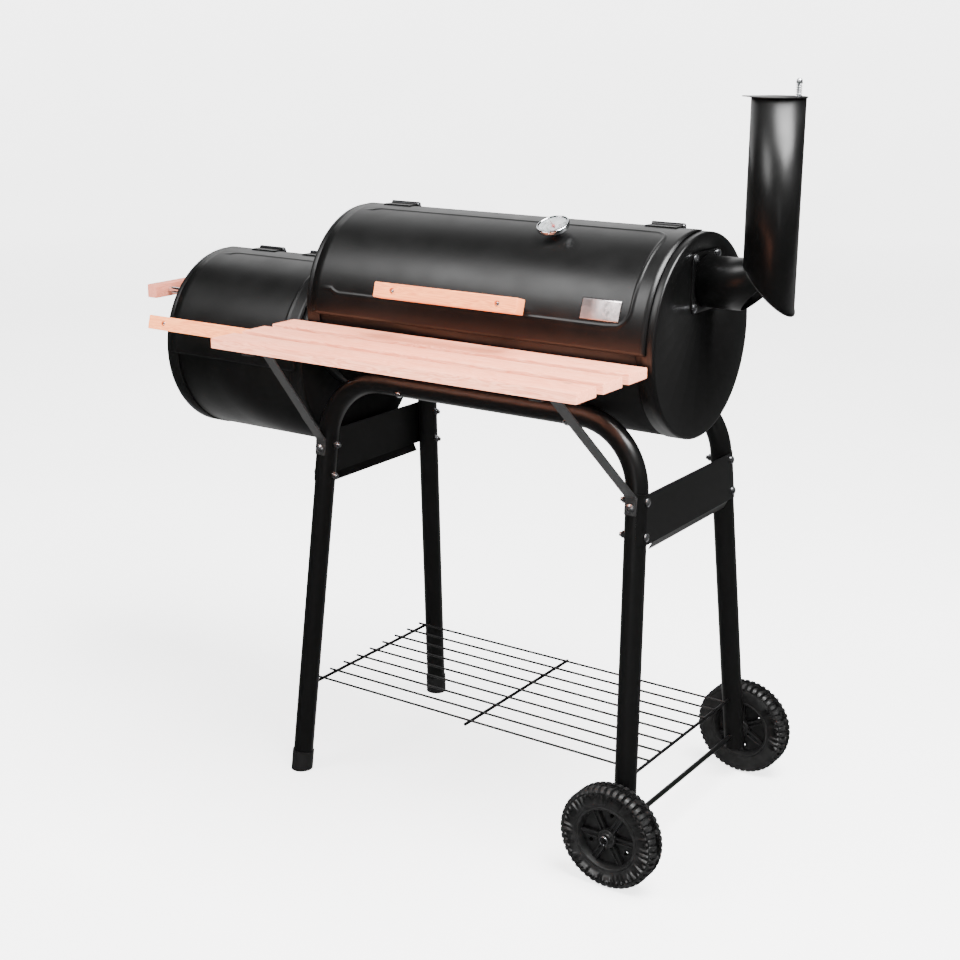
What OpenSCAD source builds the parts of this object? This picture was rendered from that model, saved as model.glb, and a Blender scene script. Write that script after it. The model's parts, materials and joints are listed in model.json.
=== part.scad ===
// Offset smoker: a charcoal barrel grill with a smaller firebox on one end,
// a chimney on the other, a tube stand with two wheels, and a plank shelf in front.
// +Z is up, the working side faces -Y, the chimney is at +X and the floor is at z = 0.
// The origin is on the floor, under the middle of the object's bounding box.

/* [Barrels] */
// Height of the cooking barrel's axis above the floor
axis_height = 755; // [700:5:820]
// Length of the cooking barrel over its end caps
barrel_len = 600; // [560:5:720]
// Outer radius of the cooking barrel's end caps
barrel_r = 146; // [125:1:160]
// Length of the firebox over its end caps
firebox_len = 291; // [270:1:360]
// Outer radius of the firebox's end caps
firebox_r = 149; // [125:1:160]
// How far the firebox axis lies below the cooking barrel's axis
firebox_drop = 96; // [80:1:110]
// Space between the two barrels, filled by the heat collar
barrel_gap = 10; // [6:1:20]
// Thickness of the sheet steel
sheet = 1.2; // [1:0.1:1.5]
// Width of the flange on each end cap
flange_w = 26; // [20:1:32]
// Radius of the heat opening between the barrels
heat_r = 48; // [40:1:52]
// How far the heat opening lies below the cooking barrel's axis
heat_drop = 55; // [50:1:62]

/* [Lids] */
// Radial space between a lid and the flanges it closes on
lid_gap = 0.8; // [0.4:0.1:1.5]
// Distance from a barrel's end to the lid's side edge
lid_inset = 12; // [8:1:18]
// Angle of the lid's front edge above the axis, seen from the end
lid_front_angle = -2; // [-4:0.5:0]
// Angle of the lid's rear edge
lid_rear_angle = 93; // [91:0.5:94]
// Angle of the hinge pins
hinge_angle = 97; // [97:0.5:100]
// Radius of a hinge pin
pin_r = 2.2; // [1.8:0.1:2.5]
// Radius of a hinge knuckle
knuckle_r = 4; // [3.5:0.1:4.5]
// Length of a hinge along its pin
hinge_w = 50; // [40:1:60]
// Distance from the barrel's middle to each hinge of the main lid
main_hinge_x = 230; // [150:1:240]
// Distance from the firebox's middle to each hinge of its lid
firebox_hinge_x = 55; // [45:1:75]
// Radius of the pressed bead round a lid
bead_r = 3; // [2:0.5:4]
// Distance from a lid's side edge to the bead
bead_inset = 28; // [20:1:40]
// Angle of the bead's lower run
bead_front_angle = 11.4; // [8:0.2:11.8]
// Angle of the bead's upper run
bead_rear_angle = 78; // [70:1:82]

/* [Handles] */
// Length of each wooden grip
grip_len = 244; // [200:1:245]
// Depth of a grip, away from the surface it is on
grip_depth = 20; // [16:1:26]
// Height of a grip
grip_h = 22; // [18:1:30]
// Free space behind a grip for the fingers
grip_gap = 45; // [35:1:55]
// Distance between the two bolts of a grip
grip_bolt_pitch = 179; // [140:1:185]
// Angle of the lid handles above the axis
grip_angle = 15; // [14.5:0.5:18]
// Height of the carrying handle above the firebox axis
carry_height = 85; // [70:1:95]

/* [Thermometer and plate] */
// Distance of the thermometer from the barrel's middle
thermo_x = 92; // [60:1:120]
// Angle of the thermometer
thermo_angle = 65.7; // [60:0.1:70]
// Radius of the thermometer case
thermo_r = 24; // [20:0.5:28]
// Distance of the blank name plate from the barrel's middle
plate_x = 214; // [180:1:220]
// Angle of the blank name plate
plate_angle = 19.5; // [18:0.5:30]
// Length of the plate
plate_len = 62; // [40:1:64]

/* [Chimney] */
// Outer radius of the chimney pipe
pipe_r = 36; // [30:1:38]
// Distance from the barrel's end to the chimney's axis
chimney_reach = 94.6; // [80:0.1:120]
// Depth of the side pipe's axis below the top of the end cap
chimney_drop = 67; // [62:1:76]
// Height of the chimney's top above the barrel's axis
chimney_top = 328; // [280:1:400]
// Half the distance between neighbouring flange bolts
flange_bolt_half = 34; // [30:1:36]

/* [Stand] */
// Radius of the stand's tubes
tube_r = 16; // [13:0.5:18]
// Wall of the stand's tubes
tube_wall = 1.5; // [1:0.1:2]
// Angle below the axis at which the tubes touch the barrel
cradle_angle = 41; // [38:0.5:46]
// Distance from the middle to where a leg's line meets the top run
leg_spread = 269.6; // [240:0.1:275]
// Centreline radius of the bends
bend_r = 100; // [70:1:110]
// Lean of the legs along the barrel, in degrees
leg_lean = 2.68; // [1:0.01:3.5]
// Splay of the frames to front and rear, in degrees
splay = 5.93; // [3:0.01:7]
// Distances of the cradle bolts from the middle
cradle_bolts = [-135, 160];
// Height of the side panels' upper edge
panel_top = 555; // [520:1:560]
// Height of the side panels
panel_h = 72; // [60:1:84]
// Height of the strut bolts above the floor
strut_bolt_z = 536; // [530:1:538]
// Height of the foot caps
foot_h = 32; // [25:1:40]

/* [Wheels] */
// Radius of a wheel
wheel_r = 76; // [65:1:85]
// Width of a wheel
wheel_w = 36; // [30:1:42]
// Radius of the axle
axle_r = 4; // [3:0.1:5]
// Running clearance of the wheels on the axle
axle_clear = 0.08; // [0.02:0.01:0.1]

/* [Wire shelf] */
// Height of the wire shelf above the floor
wire_shelf_z = 142; // [120:1:300]
// Number of long wires
wire_count = 9; // [5:1:9]
// Distance of the outermost long wires inside the legs' axes
wire_edge = 32; // [24:1:60]
// Radius of the long wires
wire_r = 1.75; // [1.5:0.05:2.5]
// Radius of the cross wires
cross_r = 2.5; // [2:0.1:3.5]

/* [Plank shelf] */
// Length of the planks
plank_len = 616; // [500:1:660]
// Width of a plank
plank_w = 50; // [40:1:55]
// Thickness of a plank
plank_t = 15; // [12:1:20]
// Gap between planks
plank_gap = 17; // [8:1:20]
// Depth of the planks' top below the barrel's axis
shelf_drop = 18; // [12:1:26]
// Offset of the shelf's middle towards the firebox
shelf_shift = -14; // [-14:1:0]
// Distance of each bracket from the shelf's middle
bracket_x = 244; // [180:1:244]
// Width of the brackets and struts
strap_w = 18; // [14:1:22]
// Thickness of the brackets and struts
strap_t = 2.5; // [2:0.5:3]

/* [Grates] */
// Depth of the cooking grates below the barrel's axis
grate_drop = 20; // [15:1:40]
// Height of the charcoal grate above the lowest inside of the barrel
coal_lift = 63.6; // [55:0.1:80]
// Height of the firebox grate above the lowest inside of the firebox
fire_lift = 66.6; // [55:0.1:80]
// Radius of a grate's frame wire
grate_frame_r = 2.5; // [2:0.1:3]
// Radius of a grate's bars
grate_bar_r = 1.75; // [1.5:0.05:2.2]

/* [Fasteners] */
// Radius of the stand's bolts
bolt_r = 3; // [2.5:0.1:3.5]
// Radial clearance of a bolt in its hole
bolt_clear = 0.3; // [0.1:0.1:0.5]
// Radius of small screws
screw_r = 2; // [1.5:0.1:2.4]
// Running clearance of hinge pins and pivots
pivot_clear = 0.06; // [0.02:0.01:0.1]

/* [Hidden] */
$fn = 64;
eps = 0.01;
far = 2000;

black = "#1b1b1c";
iron = "#4a4a4c";
wood = "#f0b89a";
zinc = "#c4c6c8";
steel = "#a9abad";

// Barrel stations along X
main_x0 = -barrel_len / 2;
main_x1 = barrel_len / 2;
firebox_x1 = main_x0 - barrel_gap;
firebox_x0 = firebox_x1 - firebox_len;
firebox_mid = (firebox_x0 + firebox_x1) / 2;
firebox_axis = axis_height - firebox_drop;

// Radii of the nested sheets: shell inside the flange, lid outside it
function shell_out(cap_r) = cap_r - sheet;
function shell_in(cap_r) = cap_r - 2 * sheet;
function lid_in(cap_r) = cap_r + lid_gap;
function lid_out(cap_r) = lid_in(cap_r) + sheet;
shell_front_angle = 3;
shell_rear_angle = 90;
leaf_t = 1.5;
function pin_radius(cap_r) = lid_out(cap_r) + leaf_t + 0.5;
knuckle_gap = 0.4;
leaf_len = 19;
leaf_reach = 14.64;
tongue = hinge_w / 6;
function leaf_angle(cap_r) = asin(leaf_reach / pin_radius(cap_r));
// A joined strip is tucked this far inside the faces it runs into
tuck = 0.05;

// Chimney
pipe_in = pipe_r - sheet;
chimney_x = main_x1 + chimney_reach;
chimney_height = barrel_r - chimney_drop;
chimney_z = axis_height + chimney_height;
stack_top = axis_height + chimney_top;
flange_half = flange_bolt_half + 8;
flange_t = 1.5;
cap_gap = 0.35;
cap_t = 1.5;
cap_r = pipe_r + 2;
cap_tab = 14;
damper_x = pipe_r - 8.5;
damper_bolt_r = 2.4;
lug_t = 2;
bolt_above = 26;
spring_r = 4.2;
spring_wire_r = 0.7;

// Stand
cradle_dist = shell_out(barrel_r) + tube_r;
top_y = cradle_dist * cos(cradle_angle);
top_z = axis_height - cradle_dist * sin(cradle_angle);
turn = 90 - leg_lean;
bend_tangent = bend_r * tan(turn / 2);
run_half = leg_spread - bend_tangent;
slope_x = tan(leg_lean) / cos(splay);
slope_y = tan(splay);
leg_scale = 1 / (cos(splay) * cos(leg_lean));
function leg_x(z) = leg_spread + (top_z - z) * slope_x;
function leg_y(z) = top_y + (top_z - z) * slope_y;
function along_leg(z) = (top_z - z) * leg_scale;
tube_in = tube_r - tube_wall;
// The bends are swollen by a hair, and the straight lengths run a little way into them
bend_swell = 0.05;
bend_lap = 1;
foot_wall = 1.5;
foot_floor = 4;
leg_below_axle = 20;
panel_lean = atan(slope_x);
panel_bottom = panel_top - panel_h;
panel_bolt_inset = 11.5;
panel_bolt_z = [panel_top - panel_bolt_inset, panel_bottom + panel_bolt_inset];
lip_h = 13;
lip_angle = 30;
tab_wrap = 62;

// Wheels
axle_z = wheel_r;
washer_t = 1.5;
wheel_inner_y = leg_y(axle_z) + tube_r / cos(splay) + 3.5;
wheel_outer_y = wheel_inner_y + wheel_w;
axle_half = wheel_outer_y + 5;
axle_x = leg_x(axle_z);
rim_r = wheel_r * 0.58;
hub_r = wheel_r * 0.18;
cotter_r = axle_r + 1.4;
cotter_wire_r = 1.1;

// Plank shelf
shelf_clear = 2;
shelf_top = axis_height - shelf_drop;
shelf_under = shelf_top - plank_t;
firebox_side = sqrt(pow(lid_out(firebox_r), 2) - pow(max(shelf_under - firebox_axis, 0), 2));
plank_back = max(lid_out(barrel_r), firebox_side) + shelf_clear;
function plank_y(i) = -(plank_back + plank_w / 2 + i * (plank_w + plank_gap));
shelf_front = plank_y(2) - plank_w / 2;
strut_top_y = plank_y(2);
bracket_angle = asin((shelf_drop + plank_t + strap_t) / shell_out(barrel_r));
bracket_tab = 12;

// Object box, for the origin on the floor under its middle
box_x0 = firebox_x0 - grip_gap - grip_depth;
box_x1 = chimney_x + cap_r;
box_y0 = shelf_front;
box_y1 = axle_half;
centre_x = (box_x0 + box_x1) / 2;
centre_y = (box_y0 + box_y1) / 2;

// ---- placing helpers ----

module placed() { translate([-centre_x, -centre_y, 0]) children(); }

module at_main() { placed() translate([0, 0, axis_height]) children(); }

module at_firebox() { placed() translate([firebox_mid, 0, firebox_axis]) children(); }

// Puts the children on a barrel's surface: their +Z points outwards at the angle
module on_barrel(x, angle, radius) {
    translate([x, 0, 0]) rotate([90 - angle, 0, 0]) translate([0, 0, radius]) children();
}

// A strip of a cylinder round X, between two angles counted up from the front
module arc_sheet(r_in, r_out, a0, a1, x0, x1) {
    translate([x0, 0, 0]) rotate([90, 0, 90]) rotate([0, 0, 180 - a1])
        rotate_extrude(angle = a1 - a0, $fn = 96)
            translate([r_in, 0]) square([r_out - r_in, x1 - x0]);
}

module tube(r_out, r_in, h) {
    linear_extrude(height = h) difference() {
        circle(r = r_out);
        circle(r = r_in);
    }
}

// A rod along X from x0 to x1
module rod_x(r, x0, x1) { translate([x0, 0, 0]) rotate([0, 90, 0]) cylinder(r = r, h = x1 - x0); }

// A rod along Y from y0 to y1
module rod_y(r, y0, y1) { translate([0, y0, 0]) rotate([-90, 0, 0]) cylinder(r = r, h = y1 - y0); }

// A frame's own plane: the top run lies along X and the legs go down
module in_frame(side) { translate([0, side * top_y, top_z]) rotate([side * splay, 0, 0]) children(); }

// A leg's own axis: -Z runs down the leg from the corner of its frame
module on_leg(sx, sy) {
    in_frame(sy) translate([sx * leg_spread, 0, 0]) rotate([0, -sx * leg_lean, 0]) children();
}

// ---- fasteners: the head stands on z = 0 and the shank goes down ----

module dome_head(r, h) {
    intersection() {
        cylinder(r = r, h = h);
        translate([0, 0, h - 1.6 * r]) sphere(r = 1.6 * r);
    }
}

module bolt(grip, r = bolt_r, tail = 4) {
    nut_h = 1.5 * r;
    dome_head(2 * r, 1.15 * r);
    translate([0, 0, -grip - nut_h - tail]) cylinder(r = r, h = grip + nut_h + tail + 0.5);
    translate([0, 0, -grip - nut_h]) cylinder(r = 1.85 * r, h = nut_h, $fn = 6);
}

module screw(len, r = screw_r) {
    dome_head(2 * r, 1.2 * r);
    translate([0, 0, -len]) cylinder(r = r, h = len + 0.5);
}

// ---- barrels ----

module end_cap(cap_r, inward) {
    rotate([0, 90, 0]) translate([0, 0, inward > 0 ? 0 : -sheet]) cylinder(r = cap_r, h = sheet, $fn = 96);
    rotate([0, 90 * inward, 0]) tube(cap_r, cap_r - sheet, flange_w, $fn = 96);
}

module drum_shell(cap_r, x0, x1) {
    arc_sheet(shell_in(cap_r), shell_out(cap_r), shell_rear_angle, 360 + shell_front_angle, x0, x1);
}

module lid_sheet(cap_r, half) {
    r_out = lid_out(cap_r);
    bead_x = half - bead_inset;
    arc_sheet(lid_in(cap_r), r_out, lid_front_angle, lid_rear_angle, -half, half);
    difference() {
        union() {
            for (sx = [-1, 1])
                translate([sx * bead_x, 0, 0]) rotate([90, 0, 90]) rotate([0, 0, 180 - bead_rear_angle])
                    rotate_extrude(angle = bead_rear_angle - bead_front_angle, $fn = 96)
                        translate([r_out - bead_r / 2, 0]) circle(r = bead_r, $fn = 32);
            for (a = [bead_front_angle, bead_rear_angle])
                on_barrel(-bead_x, a, r_out - bead_r / 2) rod_x(bead_r, 0, 2 * bead_x);
            for (sx = [-1, 1]) for (a = [bead_front_angle, bead_rear_angle])
                on_barrel(sx * bead_x, a, r_out - bead_r / 2) sphere(r = bead_r + 0.15, $fn = 32);
        }
        rotate([0, 90, 0]) cylinder(r = r_out - sheet / 2, h = far, center = true, $fn = 96);
    }
}

// The cradle bolts, pointing from the outside of each frame tube into the shell
module cradle_places() {
    for (sy = [-1, 1]) for (x = cradle_bolts)
        translate([x, 0, axis_height]) mirror([0, sy > 0 ? 1 : 0, 0])
            on_barrel(0, -cradle_angle, cradle_dist + tube_r) children();
}

module main_shell() color(black) placed() {
    difference() {
        translate([0, 0, axis_height]) drum_shell(barrel_r, main_x0 + sheet, main_x1 - sheet);
        cradle_places() translate([0, 0, -3 * tube_r]) cylinder(r = bolt_r + bolt_clear, h = 3 * tube_r);
        bracket_bolt_places() translate([0, 0, -10]) cylinder(r = bolt_r + bolt_clear, h = 20);
        translate([main_x1 - flange_w + 2, 0, axis_height]) on_barrel(0, -55, barrel_r - 10)
            translate([-24, 0, 0]) cylinder(r = 3, h = 20);
    }
}

module main_cap_left() color(black) at_main() difference() {
    translate([main_x0, 0, 0]) end_cap(barrel_r, 1);
    translate([main_x0 - 5, 0, -heat_drop]) rod_x(heat_r, 0, 10);
    collar_bolt_places(main_x0) rod_x(screw_r + bolt_clear, -5, 5);
}

module main_cap_right() color(black) at_main() difference() {
    translate([main_x1, 0, 0]) end_cap(barrel_r, -1);
    translate([main_x1 - 5, 0, chimney_height]) rod_x(pipe_in, 0, 10);
    chimney_bolt_places(main_x1) rod_x(bolt_r + bolt_clear, -5, 5);
}

module firebox_shell() color(black) at_firebox()
    drum_shell(firebox_r, sheet - firebox_len / 2, firebox_len / 2 - sheet);

vent_hole_r = 11;
vent_ring_r = 26;
vent_drop = 45;
vent_pin_r = 2.5;
vent_gap = 0.35;
vent_t = 1.5;
module vent_pattern() for (a = [45:90:315]) rotate([a, 0, 0]) translate([0, 0, vent_ring_r]) children();

module firebox_cap_left() color(black) at_firebox() difference() {
    translate([-firebox_len / 2, 0, 0]) end_cap(firebox_r, 1);
    translate([-firebox_len / 2, 0, -vent_drop]) {
        vent_pattern() rod_x(vent_hole_r, -5, 5);
        rod_x(vent_pin_r, -5, 5);
    }
    for (sy = [-1, 1]) translate([-firebox_len / 2, sy * grip_bolt_pitch / 2, carry_height])
        rod_x(screw_r + bolt_clear, -5, 5);
}

module firebox_cap_right() color(black) at_firebox() difference() {
    translate([firebox_len / 2, 0, 0]) end_cap(firebox_r, -1);
    translate([firebox_len / 2 - 5, 0, firebox_drop - heat_drop]) rod_x(heat_r, 0, 10);
    translate([0, 0, firebox_drop]) collar_bolt_places(firebox_len / 2) rod_x(screw_r + bolt_clear, -5, 5);
}

collar_flange = 12;
module collar_bolt_places(x) for (a = [45:90:315])
    translate([x, 0, -heat_drop]) rotate([a, 0, 0]) translate([0, 0, heat_r + collar_flange / 2]) children();

module heat_collar() color(black) at_main() difference() {
    translate([firebox_x1, 0, -heat_drop]) rotate([0, 90, 0]) tube(heat_r + collar_flange, heat_r, barrel_gap);
    collar_bolt_places(main_x0 - barrel_gap / 2) rod_x(screw_r + bolt_clear, -far / 100, far / 100);
}

// ---- lids ----

main_lid_half = barrel_len / 2 - lid_inset;
firebox_lid_half = firebox_len / 2 - lid_inset;

module grip_bolt_places() for (sx = [-1, 1])
    on_barrel(sx * grip_bolt_pitch / 2, grip_angle, 0) children();

module main_lid() color(black) at_main() difference() {
    lid_sheet(barrel_r, main_lid_half);
    grip_bolt_places() cylinder(r = screw_r + bolt_clear, h = far);
    on_barrel(thermo_x, thermo_angle, 0) cylinder(r = thermo_stem_r + bolt_clear, h = far);
    for (sx = [-1, 1]) on_barrel(plate_x + sx * rivet_x, plate_angle, 0)
        cylinder(r = rivet_r, h = far);
}

module firebox_lid() color(black) at_firebox() difference() {
    lid_sheet(firebox_r, firebox_lid_half);
    grip_bolt_places() cylinder(r = screw_r + bolt_clear, h = far);
}

// The lid's hinge leaf: a plate flat on the lid, with a tongue to the middle knuckle
module moving_leaf(cap_r) {
    difference() {
        union() {
            on_barrel(0, hinge_angle - leaf_angle(cap_r), lid_out(cap_r)) linear_extrude(height = leaf_t) polygon([
                [-hinge_w / 2, -leaf_len / 2], [hinge_w / 2, -leaf_len / 2], [hinge_w / 2, leaf_len / 2],
                [tongue, leaf_len / 2], [tongue, leaf_reach], [-tongue, leaf_reach],
                [-tongue, leaf_len / 2], [-hinge_w / 2, leaf_len / 2]]);
            on_barrel(0, hinge_angle, pin_radius(cap_r)) rod_x(knuckle_r, -tongue - tuck, tongue + tuck);
        }
        on_barrel(0, hinge_angle, pin_radius(cap_r)) rod_x(pin_r + pivot_clear, -hinge_w, hinge_w);
    }
}

// The shell's hinge leaf: a plate flat on the shell, with a knuckle on each side of the lid's
module fixed_leaf(cap_r) {
    finger = hinge_w / 2 - tongue - knuckle_gap;
    on_barrel(0, hinge_angle + leaf_angle(cap_r), shell_out(cap_r))
        translate([-hinge_w / 2, -leaf_len / 2, 0]) cube([hinge_w, leaf_len, leaf_t]);
    for (sx = [-1, 1]) translate([sx * (hinge_w - finger) / 2, 0, 0]) difference() {
        union() {
            on_barrel(0, hinge_angle + leaf_angle(cap_r), shell_out(cap_r))
                translate([tuck - finger / 2, -leaf_reach, tuck])
                    cube([finger - 2 * tuck, leaf_reach - leaf_len / 2 + 2, knuckle_r]);
            on_barrel(0, hinge_angle, pin_radius(cap_r)) rod_x(knuckle_r, -finger / 2, finger / 2);
        }
        on_barrel(0, hinge_angle, pin_radius(cap_r)) rod_x(pin_r, -hinge_w, hinge_w);
    }
}

module main_hinge_places() at_main() for (sx = [-1, 1]) translate([sx * main_hinge_x, 0, 0]) children();
module firebox_hinge_places() at_firebox() for (sx = [-1, 1]) translate([sx * firebox_hinge_x, 0, 0])
    children();

module main_lid_leaves() color(black) main_hinge_places() moving_leaf(barrel_r);
module firebox_lid_leaves() color(black) firebox_hinge_places() moving_leaf(firebox_r);

module fixed_hinge_leaves() color(black) {
    main_hinge_places() fixed_leaf(barrel_r);
    firebox_hinge_places() fixed_leaf(firebox_r);
}

module hinge_pins() color(zinc) {
    main_hinge_places() on_barrel(0, hinge_angle, pin_radius(barrel_r)) hinge_pin();
    firebox_hinge_places() on_barrel(0, hinge_angle, pin_radius(firebox_r)) hinge_pin();
}

module hinge_pin() {
    rod_x(pin_r, -hinge_w / 2, hinge_w / 2 + 1);
    rod_x(pin_r + 1, hinge_w / 2, hinge_w / 2 + 1.5);
}

// ---- handles: the grip is drawn along X with its seat at z = 0 ----

standoff_r = 5;
grip_round = 2;

module grip_bar() difference() {
    translate([0, 0, grip_gap + grip_depth / 2]) rotate([0, 90, 0])
        linear_extrude(height = grip_len, center = true) rounded_rect(grip_depth, grip_h, grip_round);
    for (sx = [-1, 1]) translate([sx * grip_bolt_pitch / 2, 0, 0]) {
        cylinder(r = screw_r + bolt_clear, h = far);
        translate([0, 0, grip_gap + grip_depth - 4]) cylinder(r = 2 * screw_r + bolt_clear, h = far);
    }
}

module rounded_rect(w, h, r) {
    square([w - 2 * r, h], center = true);
    square([w, h - 2 * r], center = true);
    for (sx = [-1, 1]) for (sy = [-1, 1])
        translate([sx * (w / 2 - r), sy * (h / 2 - r)]) circle(r = r, $fn = 32);
}

// One screw with its sleeve: sunk in the grip, nut under the sheet
module grip_bolt() {
    nut_h = 3;
    tube(standoff_r, screw_r, grip_gap);
    translate([0, 0, grip_gap + grip_depth - 4]) dome_head(2 * screw_r, 2.4);
    translate([0, 0, -sheet - nut_h - 3]) cylinder(r = screw_r, h = sheet + nut_h + 3 + grip_gap + grip_depth - 3);
    translate([0, 0, -sheet - nut_h]) cylinder(r = 2 * screw_r, h = nut_h, $fn = 6);
}

module grip_bolts() for (sx = [-1, 1]) translate([sx * grip_bolt_pitch / 2, 0, 0]) grip_bolt();

module main_handle() color(wood) at_main() on_barrel(0, grip_angle, lid_out(barrel_r)) grip_bar();
module main_handle_bolts() color(zinc) at_main() on_barrel(0, grip_angle, lid_out(barrel_r)) grip_bolts();
module firebox_handle() color(wood) at_firebox() on_barrel(0, grip_angle, lid_out(firebox_r)) grip_bar();
module firebox_handle_bolts() color(zinc) at_firebox()
    on_barrel(0, grip_angle, lid_out(firebox_r)) grip_bolts();

// The carrying handle stands on the firebox's outer end, along Y
module at_carry() placed() translate([firebox_x0, 0, firebox_axis + carry_height])
    rotate([0, -90, 0]) rotate([0, 0, 90]) children();
module carry_handle() color(wood) at_carry() grip_bar();
module carry_handle_bolts() color(zinc) at_carry() grip_bolts();

// ---- thermometer and plate ----

thermo_stem_r = 4;
thermo_seat = 8;
case_wall = 1.5;
case_floor = 2;
dial_t = 0.8;
needle_t = 0.6;
needle_len = 0.62 * thermo_r;
needle_pin_r = 0.8;
glass_t = 1.2;
case_h = 8;

// The seat plane lies a little above the lid, so the case's foot clears the curve
module at_thermo() at_main() on_barrel(thermo_x, thermo_angle, lid_out(barrel_r)) children();

module thermometer_case() color(zinc) at_thermo() {
    difference() {
        translate([0, 0, thermo_seat]) cylinder(r = thermo_r, h = case_h);
        translate([0, 0, thermo_seat + case_floor]) cylinder(r = thermo_r - case_wall, h = case_h);
    }
    cylinder(r = thermo_stem_r + 3, h = thermo_seat + eps);
    translate([0, 0, -60]) cylinder(r = thermo_stem_r - 0.5, h = 60 + eps);
    translate([0, 0, -sheet - 6]) cylinder(r = thermo_stem_r + 3, h = 5, $fn = 6);
}

module thermometer_dial() color("white") at_thermo() translate([0, 0, thermo_seat + case_floor]) {
    tube(thermo_r - case_wall, needle_pin_r, dial_t);
    cylinder(r = needle_pin_r, h = dial_t + 2);
}

needle_z = thermo_seat + case_floor + dial_t + 0.3;
needle_rest = 135;
module thermometer_needle() color("#c03020") at_thermo() translate([0, 0, needle_z]) rotate([0, 0, needle_rest])
difference() {
    union() {
        cylinder(r = 2.4, h = needle_t);
        translate([-0.6, -5, 0]) cube([1.2, 5 + needle_len, needle_t]);
    }
    translate([0, 0, -1]) cylinder(r = needle_pin_r + pivot_clear, h = 3);
}

module thermometer_glass() color("lightblue") at_thermo()
    translate([0, 0, thermo_seat + case_h - glass_t - 0.4]) cylinder(r = thermo_r - case_wall, h = glass_t);

rivet_x = plate_len / 2 - 4;
rivet_r = 1.2;
plate_h = 31;
plate_t = 0.8;
module name_plate() color(steel) at_main() {
    half_angle = plate_h / 2 / lid_out(barrel_r) * 180 / PI;
    arc_sheet(lid_out(barrel_r), lid_out(barrel_r) + plate_t, plate_angle - half_angle,
              plate_angle + half_angle, plate_x - plate_len / 2, plate_x + plate_len / 2);
    for (sx = [-1, 1]) on_barrel(plate_x + sx * rivet_x, plate_angle, lid_out(barrel_r) - sheet - 1)
        cylinder(r = rivet_r, h = sheet + plate_t + 1.4);
}

// ---- chimney ----

module chimney_bolt_places(x) for (sy = [-1, 1]) for (sz = [-1, 1])
    translate([x, sy * flange_bolt_half, chimney_height + sz * flange_bolt_half]) children();

module chimney_flange() color(black) at_main() difference() {
    translate([main_x1, 0, chimney_height]) rotate([0, 90, 0])
        linear_extrude(height = flange_t) rounded_rect(2 * flange_half, 2 * flange_half, 8);
    translate([main_x1, 0, chimney_height]) rod_x(pipe_r, -5, 10);
    chimney_bolt_places(main_x1) rod_x(bolt_r + bolt_clear, -5, 10);
}

// Everything on one side of the 45-degree mitre between the two pipes
module mitre_block(above) placed() translate([chimney_x, 0, chimney_z]) rotate([0, above ? 45 : 225, 0])
    translate([-far / 2, -far / 2, 0]) cube([far, far, far]);

module chimney_elbow() color(black) intersection() {
    placed() translate([main_x1, 0, chimney_z]) rotate([0, 90, 0]) tube(pipe_r, pipe_in, chimney_reach + 2 * pipe_r);
    mitre_block(false);
}

module chimney_pipe() color(black) {
    intersection() {
        placed() translate([chimney_x, 0, chimney_z - 2 * pipe_r])
            tube(pipe_r, pipe_in, stack_top - chimney_z + 2 * pipe_r);
        mitre_block(true);
    }
    placed() translate([chimney_x, 0, stack_top - lug_t]) difference() {
        intersection() {
            translate([damper_x - 6, -6, 0]) cube([20, 12, lug_t]);
            cylinder(r = pipe_in + eps, h = lug_t);
        }
        translate([damper_x, 0, -1]) cylinder(r = damper_bolt_r, h = 5);
    }
}

module at_damper() placed() translate([chimney_x + damper_x, 0, stack_top]) children();

module chimney_cap() color(black) {
    difference() {
        placed() translate([chimney_x, 0, stack_top + cap_gap]) {
            cylinder(r = cap_r, h = cap_t);
            linear_extrude(height = cap_t)
                polygon([[-cap_r * cos(20), -cap_r * sin(20)], [-cap_r - cap_tab, -2], [-cap_r - cap_tab, 2],
                         [-cap_r * cos(20), cap_r * sin(20)]]);
        }
        at_damper() cylinder(r = damper_bolt_r + pivot_clear, h = 10);
    }
}

damper_washer_t = 0.8;
spring_z0 = cap_gap + cap_t + 0.35 + damper_washer_t;
acorn_h = 7;
spring_h = bolt_above - acorn_h - spring_z0;
module damper_bolt() color(zinc) at_damper() {
    translate([0, 0, -lug_t - 8]) cylinder(r = damper_bolt_r, h = lug_t + 8 + bolt_above - 2);
    translate([0, 0, -lug_t - 4]) cylinder(r = 4.5, h = 4, $fn = 6);
    translate([0, 0, spring_z0 - damper_washer_t]) cylinder(r = spring_r + 1, h = damper_washer_t);
    translate([0, 0, bolt_above - acorn_h]) cylinder(r = 4.6, h = 3.5, $fn = 6);
    translate([0, 0, bolt_above - 4]) sphere(r = 4);
}

spring_turns = 5;
spring_sides = 8;
spring_steps = 16;
spring_rings = spring_turns * spring_steps + 1;
function spring_point(i, k) =
    let (turn_at = 360 * i / spring_steps, side_at = 360 * k / spring_sides,
         r = spring_r - spring_wire_r * (1 - cos(side_at)),
         rise = (spring_h - 2 * spring_wire_r) * i / (spring_rings - 1))
    [r * cos(turn_at), r * sin(turn_at), spring_z0 + spring_wire_r + rise + spring_wire_r * sin(side_at)];
module damper_spring() color(zinc) at_damper() polyhedron(
    points = [for (i = [0:spring_rings - 1]) for (k = [0:spring_sides - 1]) spring_point(i, k)],
    faces = concat(
        [[for (k = [0:spring_sides - 1]) k]],
        [for (i = [0:spring_rings - 2]) for (k = [0:spring_sides - 1])
            let (a = i * spring_sides, b = a + spring_sides, n = (k + 1) % spring_sides)
            [a + k, b + k, b + n, a + n]],
        [[for (k = [spring_sides - 1:-1:0]) (spring_rings - 1) * spring_sides + k]]));

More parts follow.
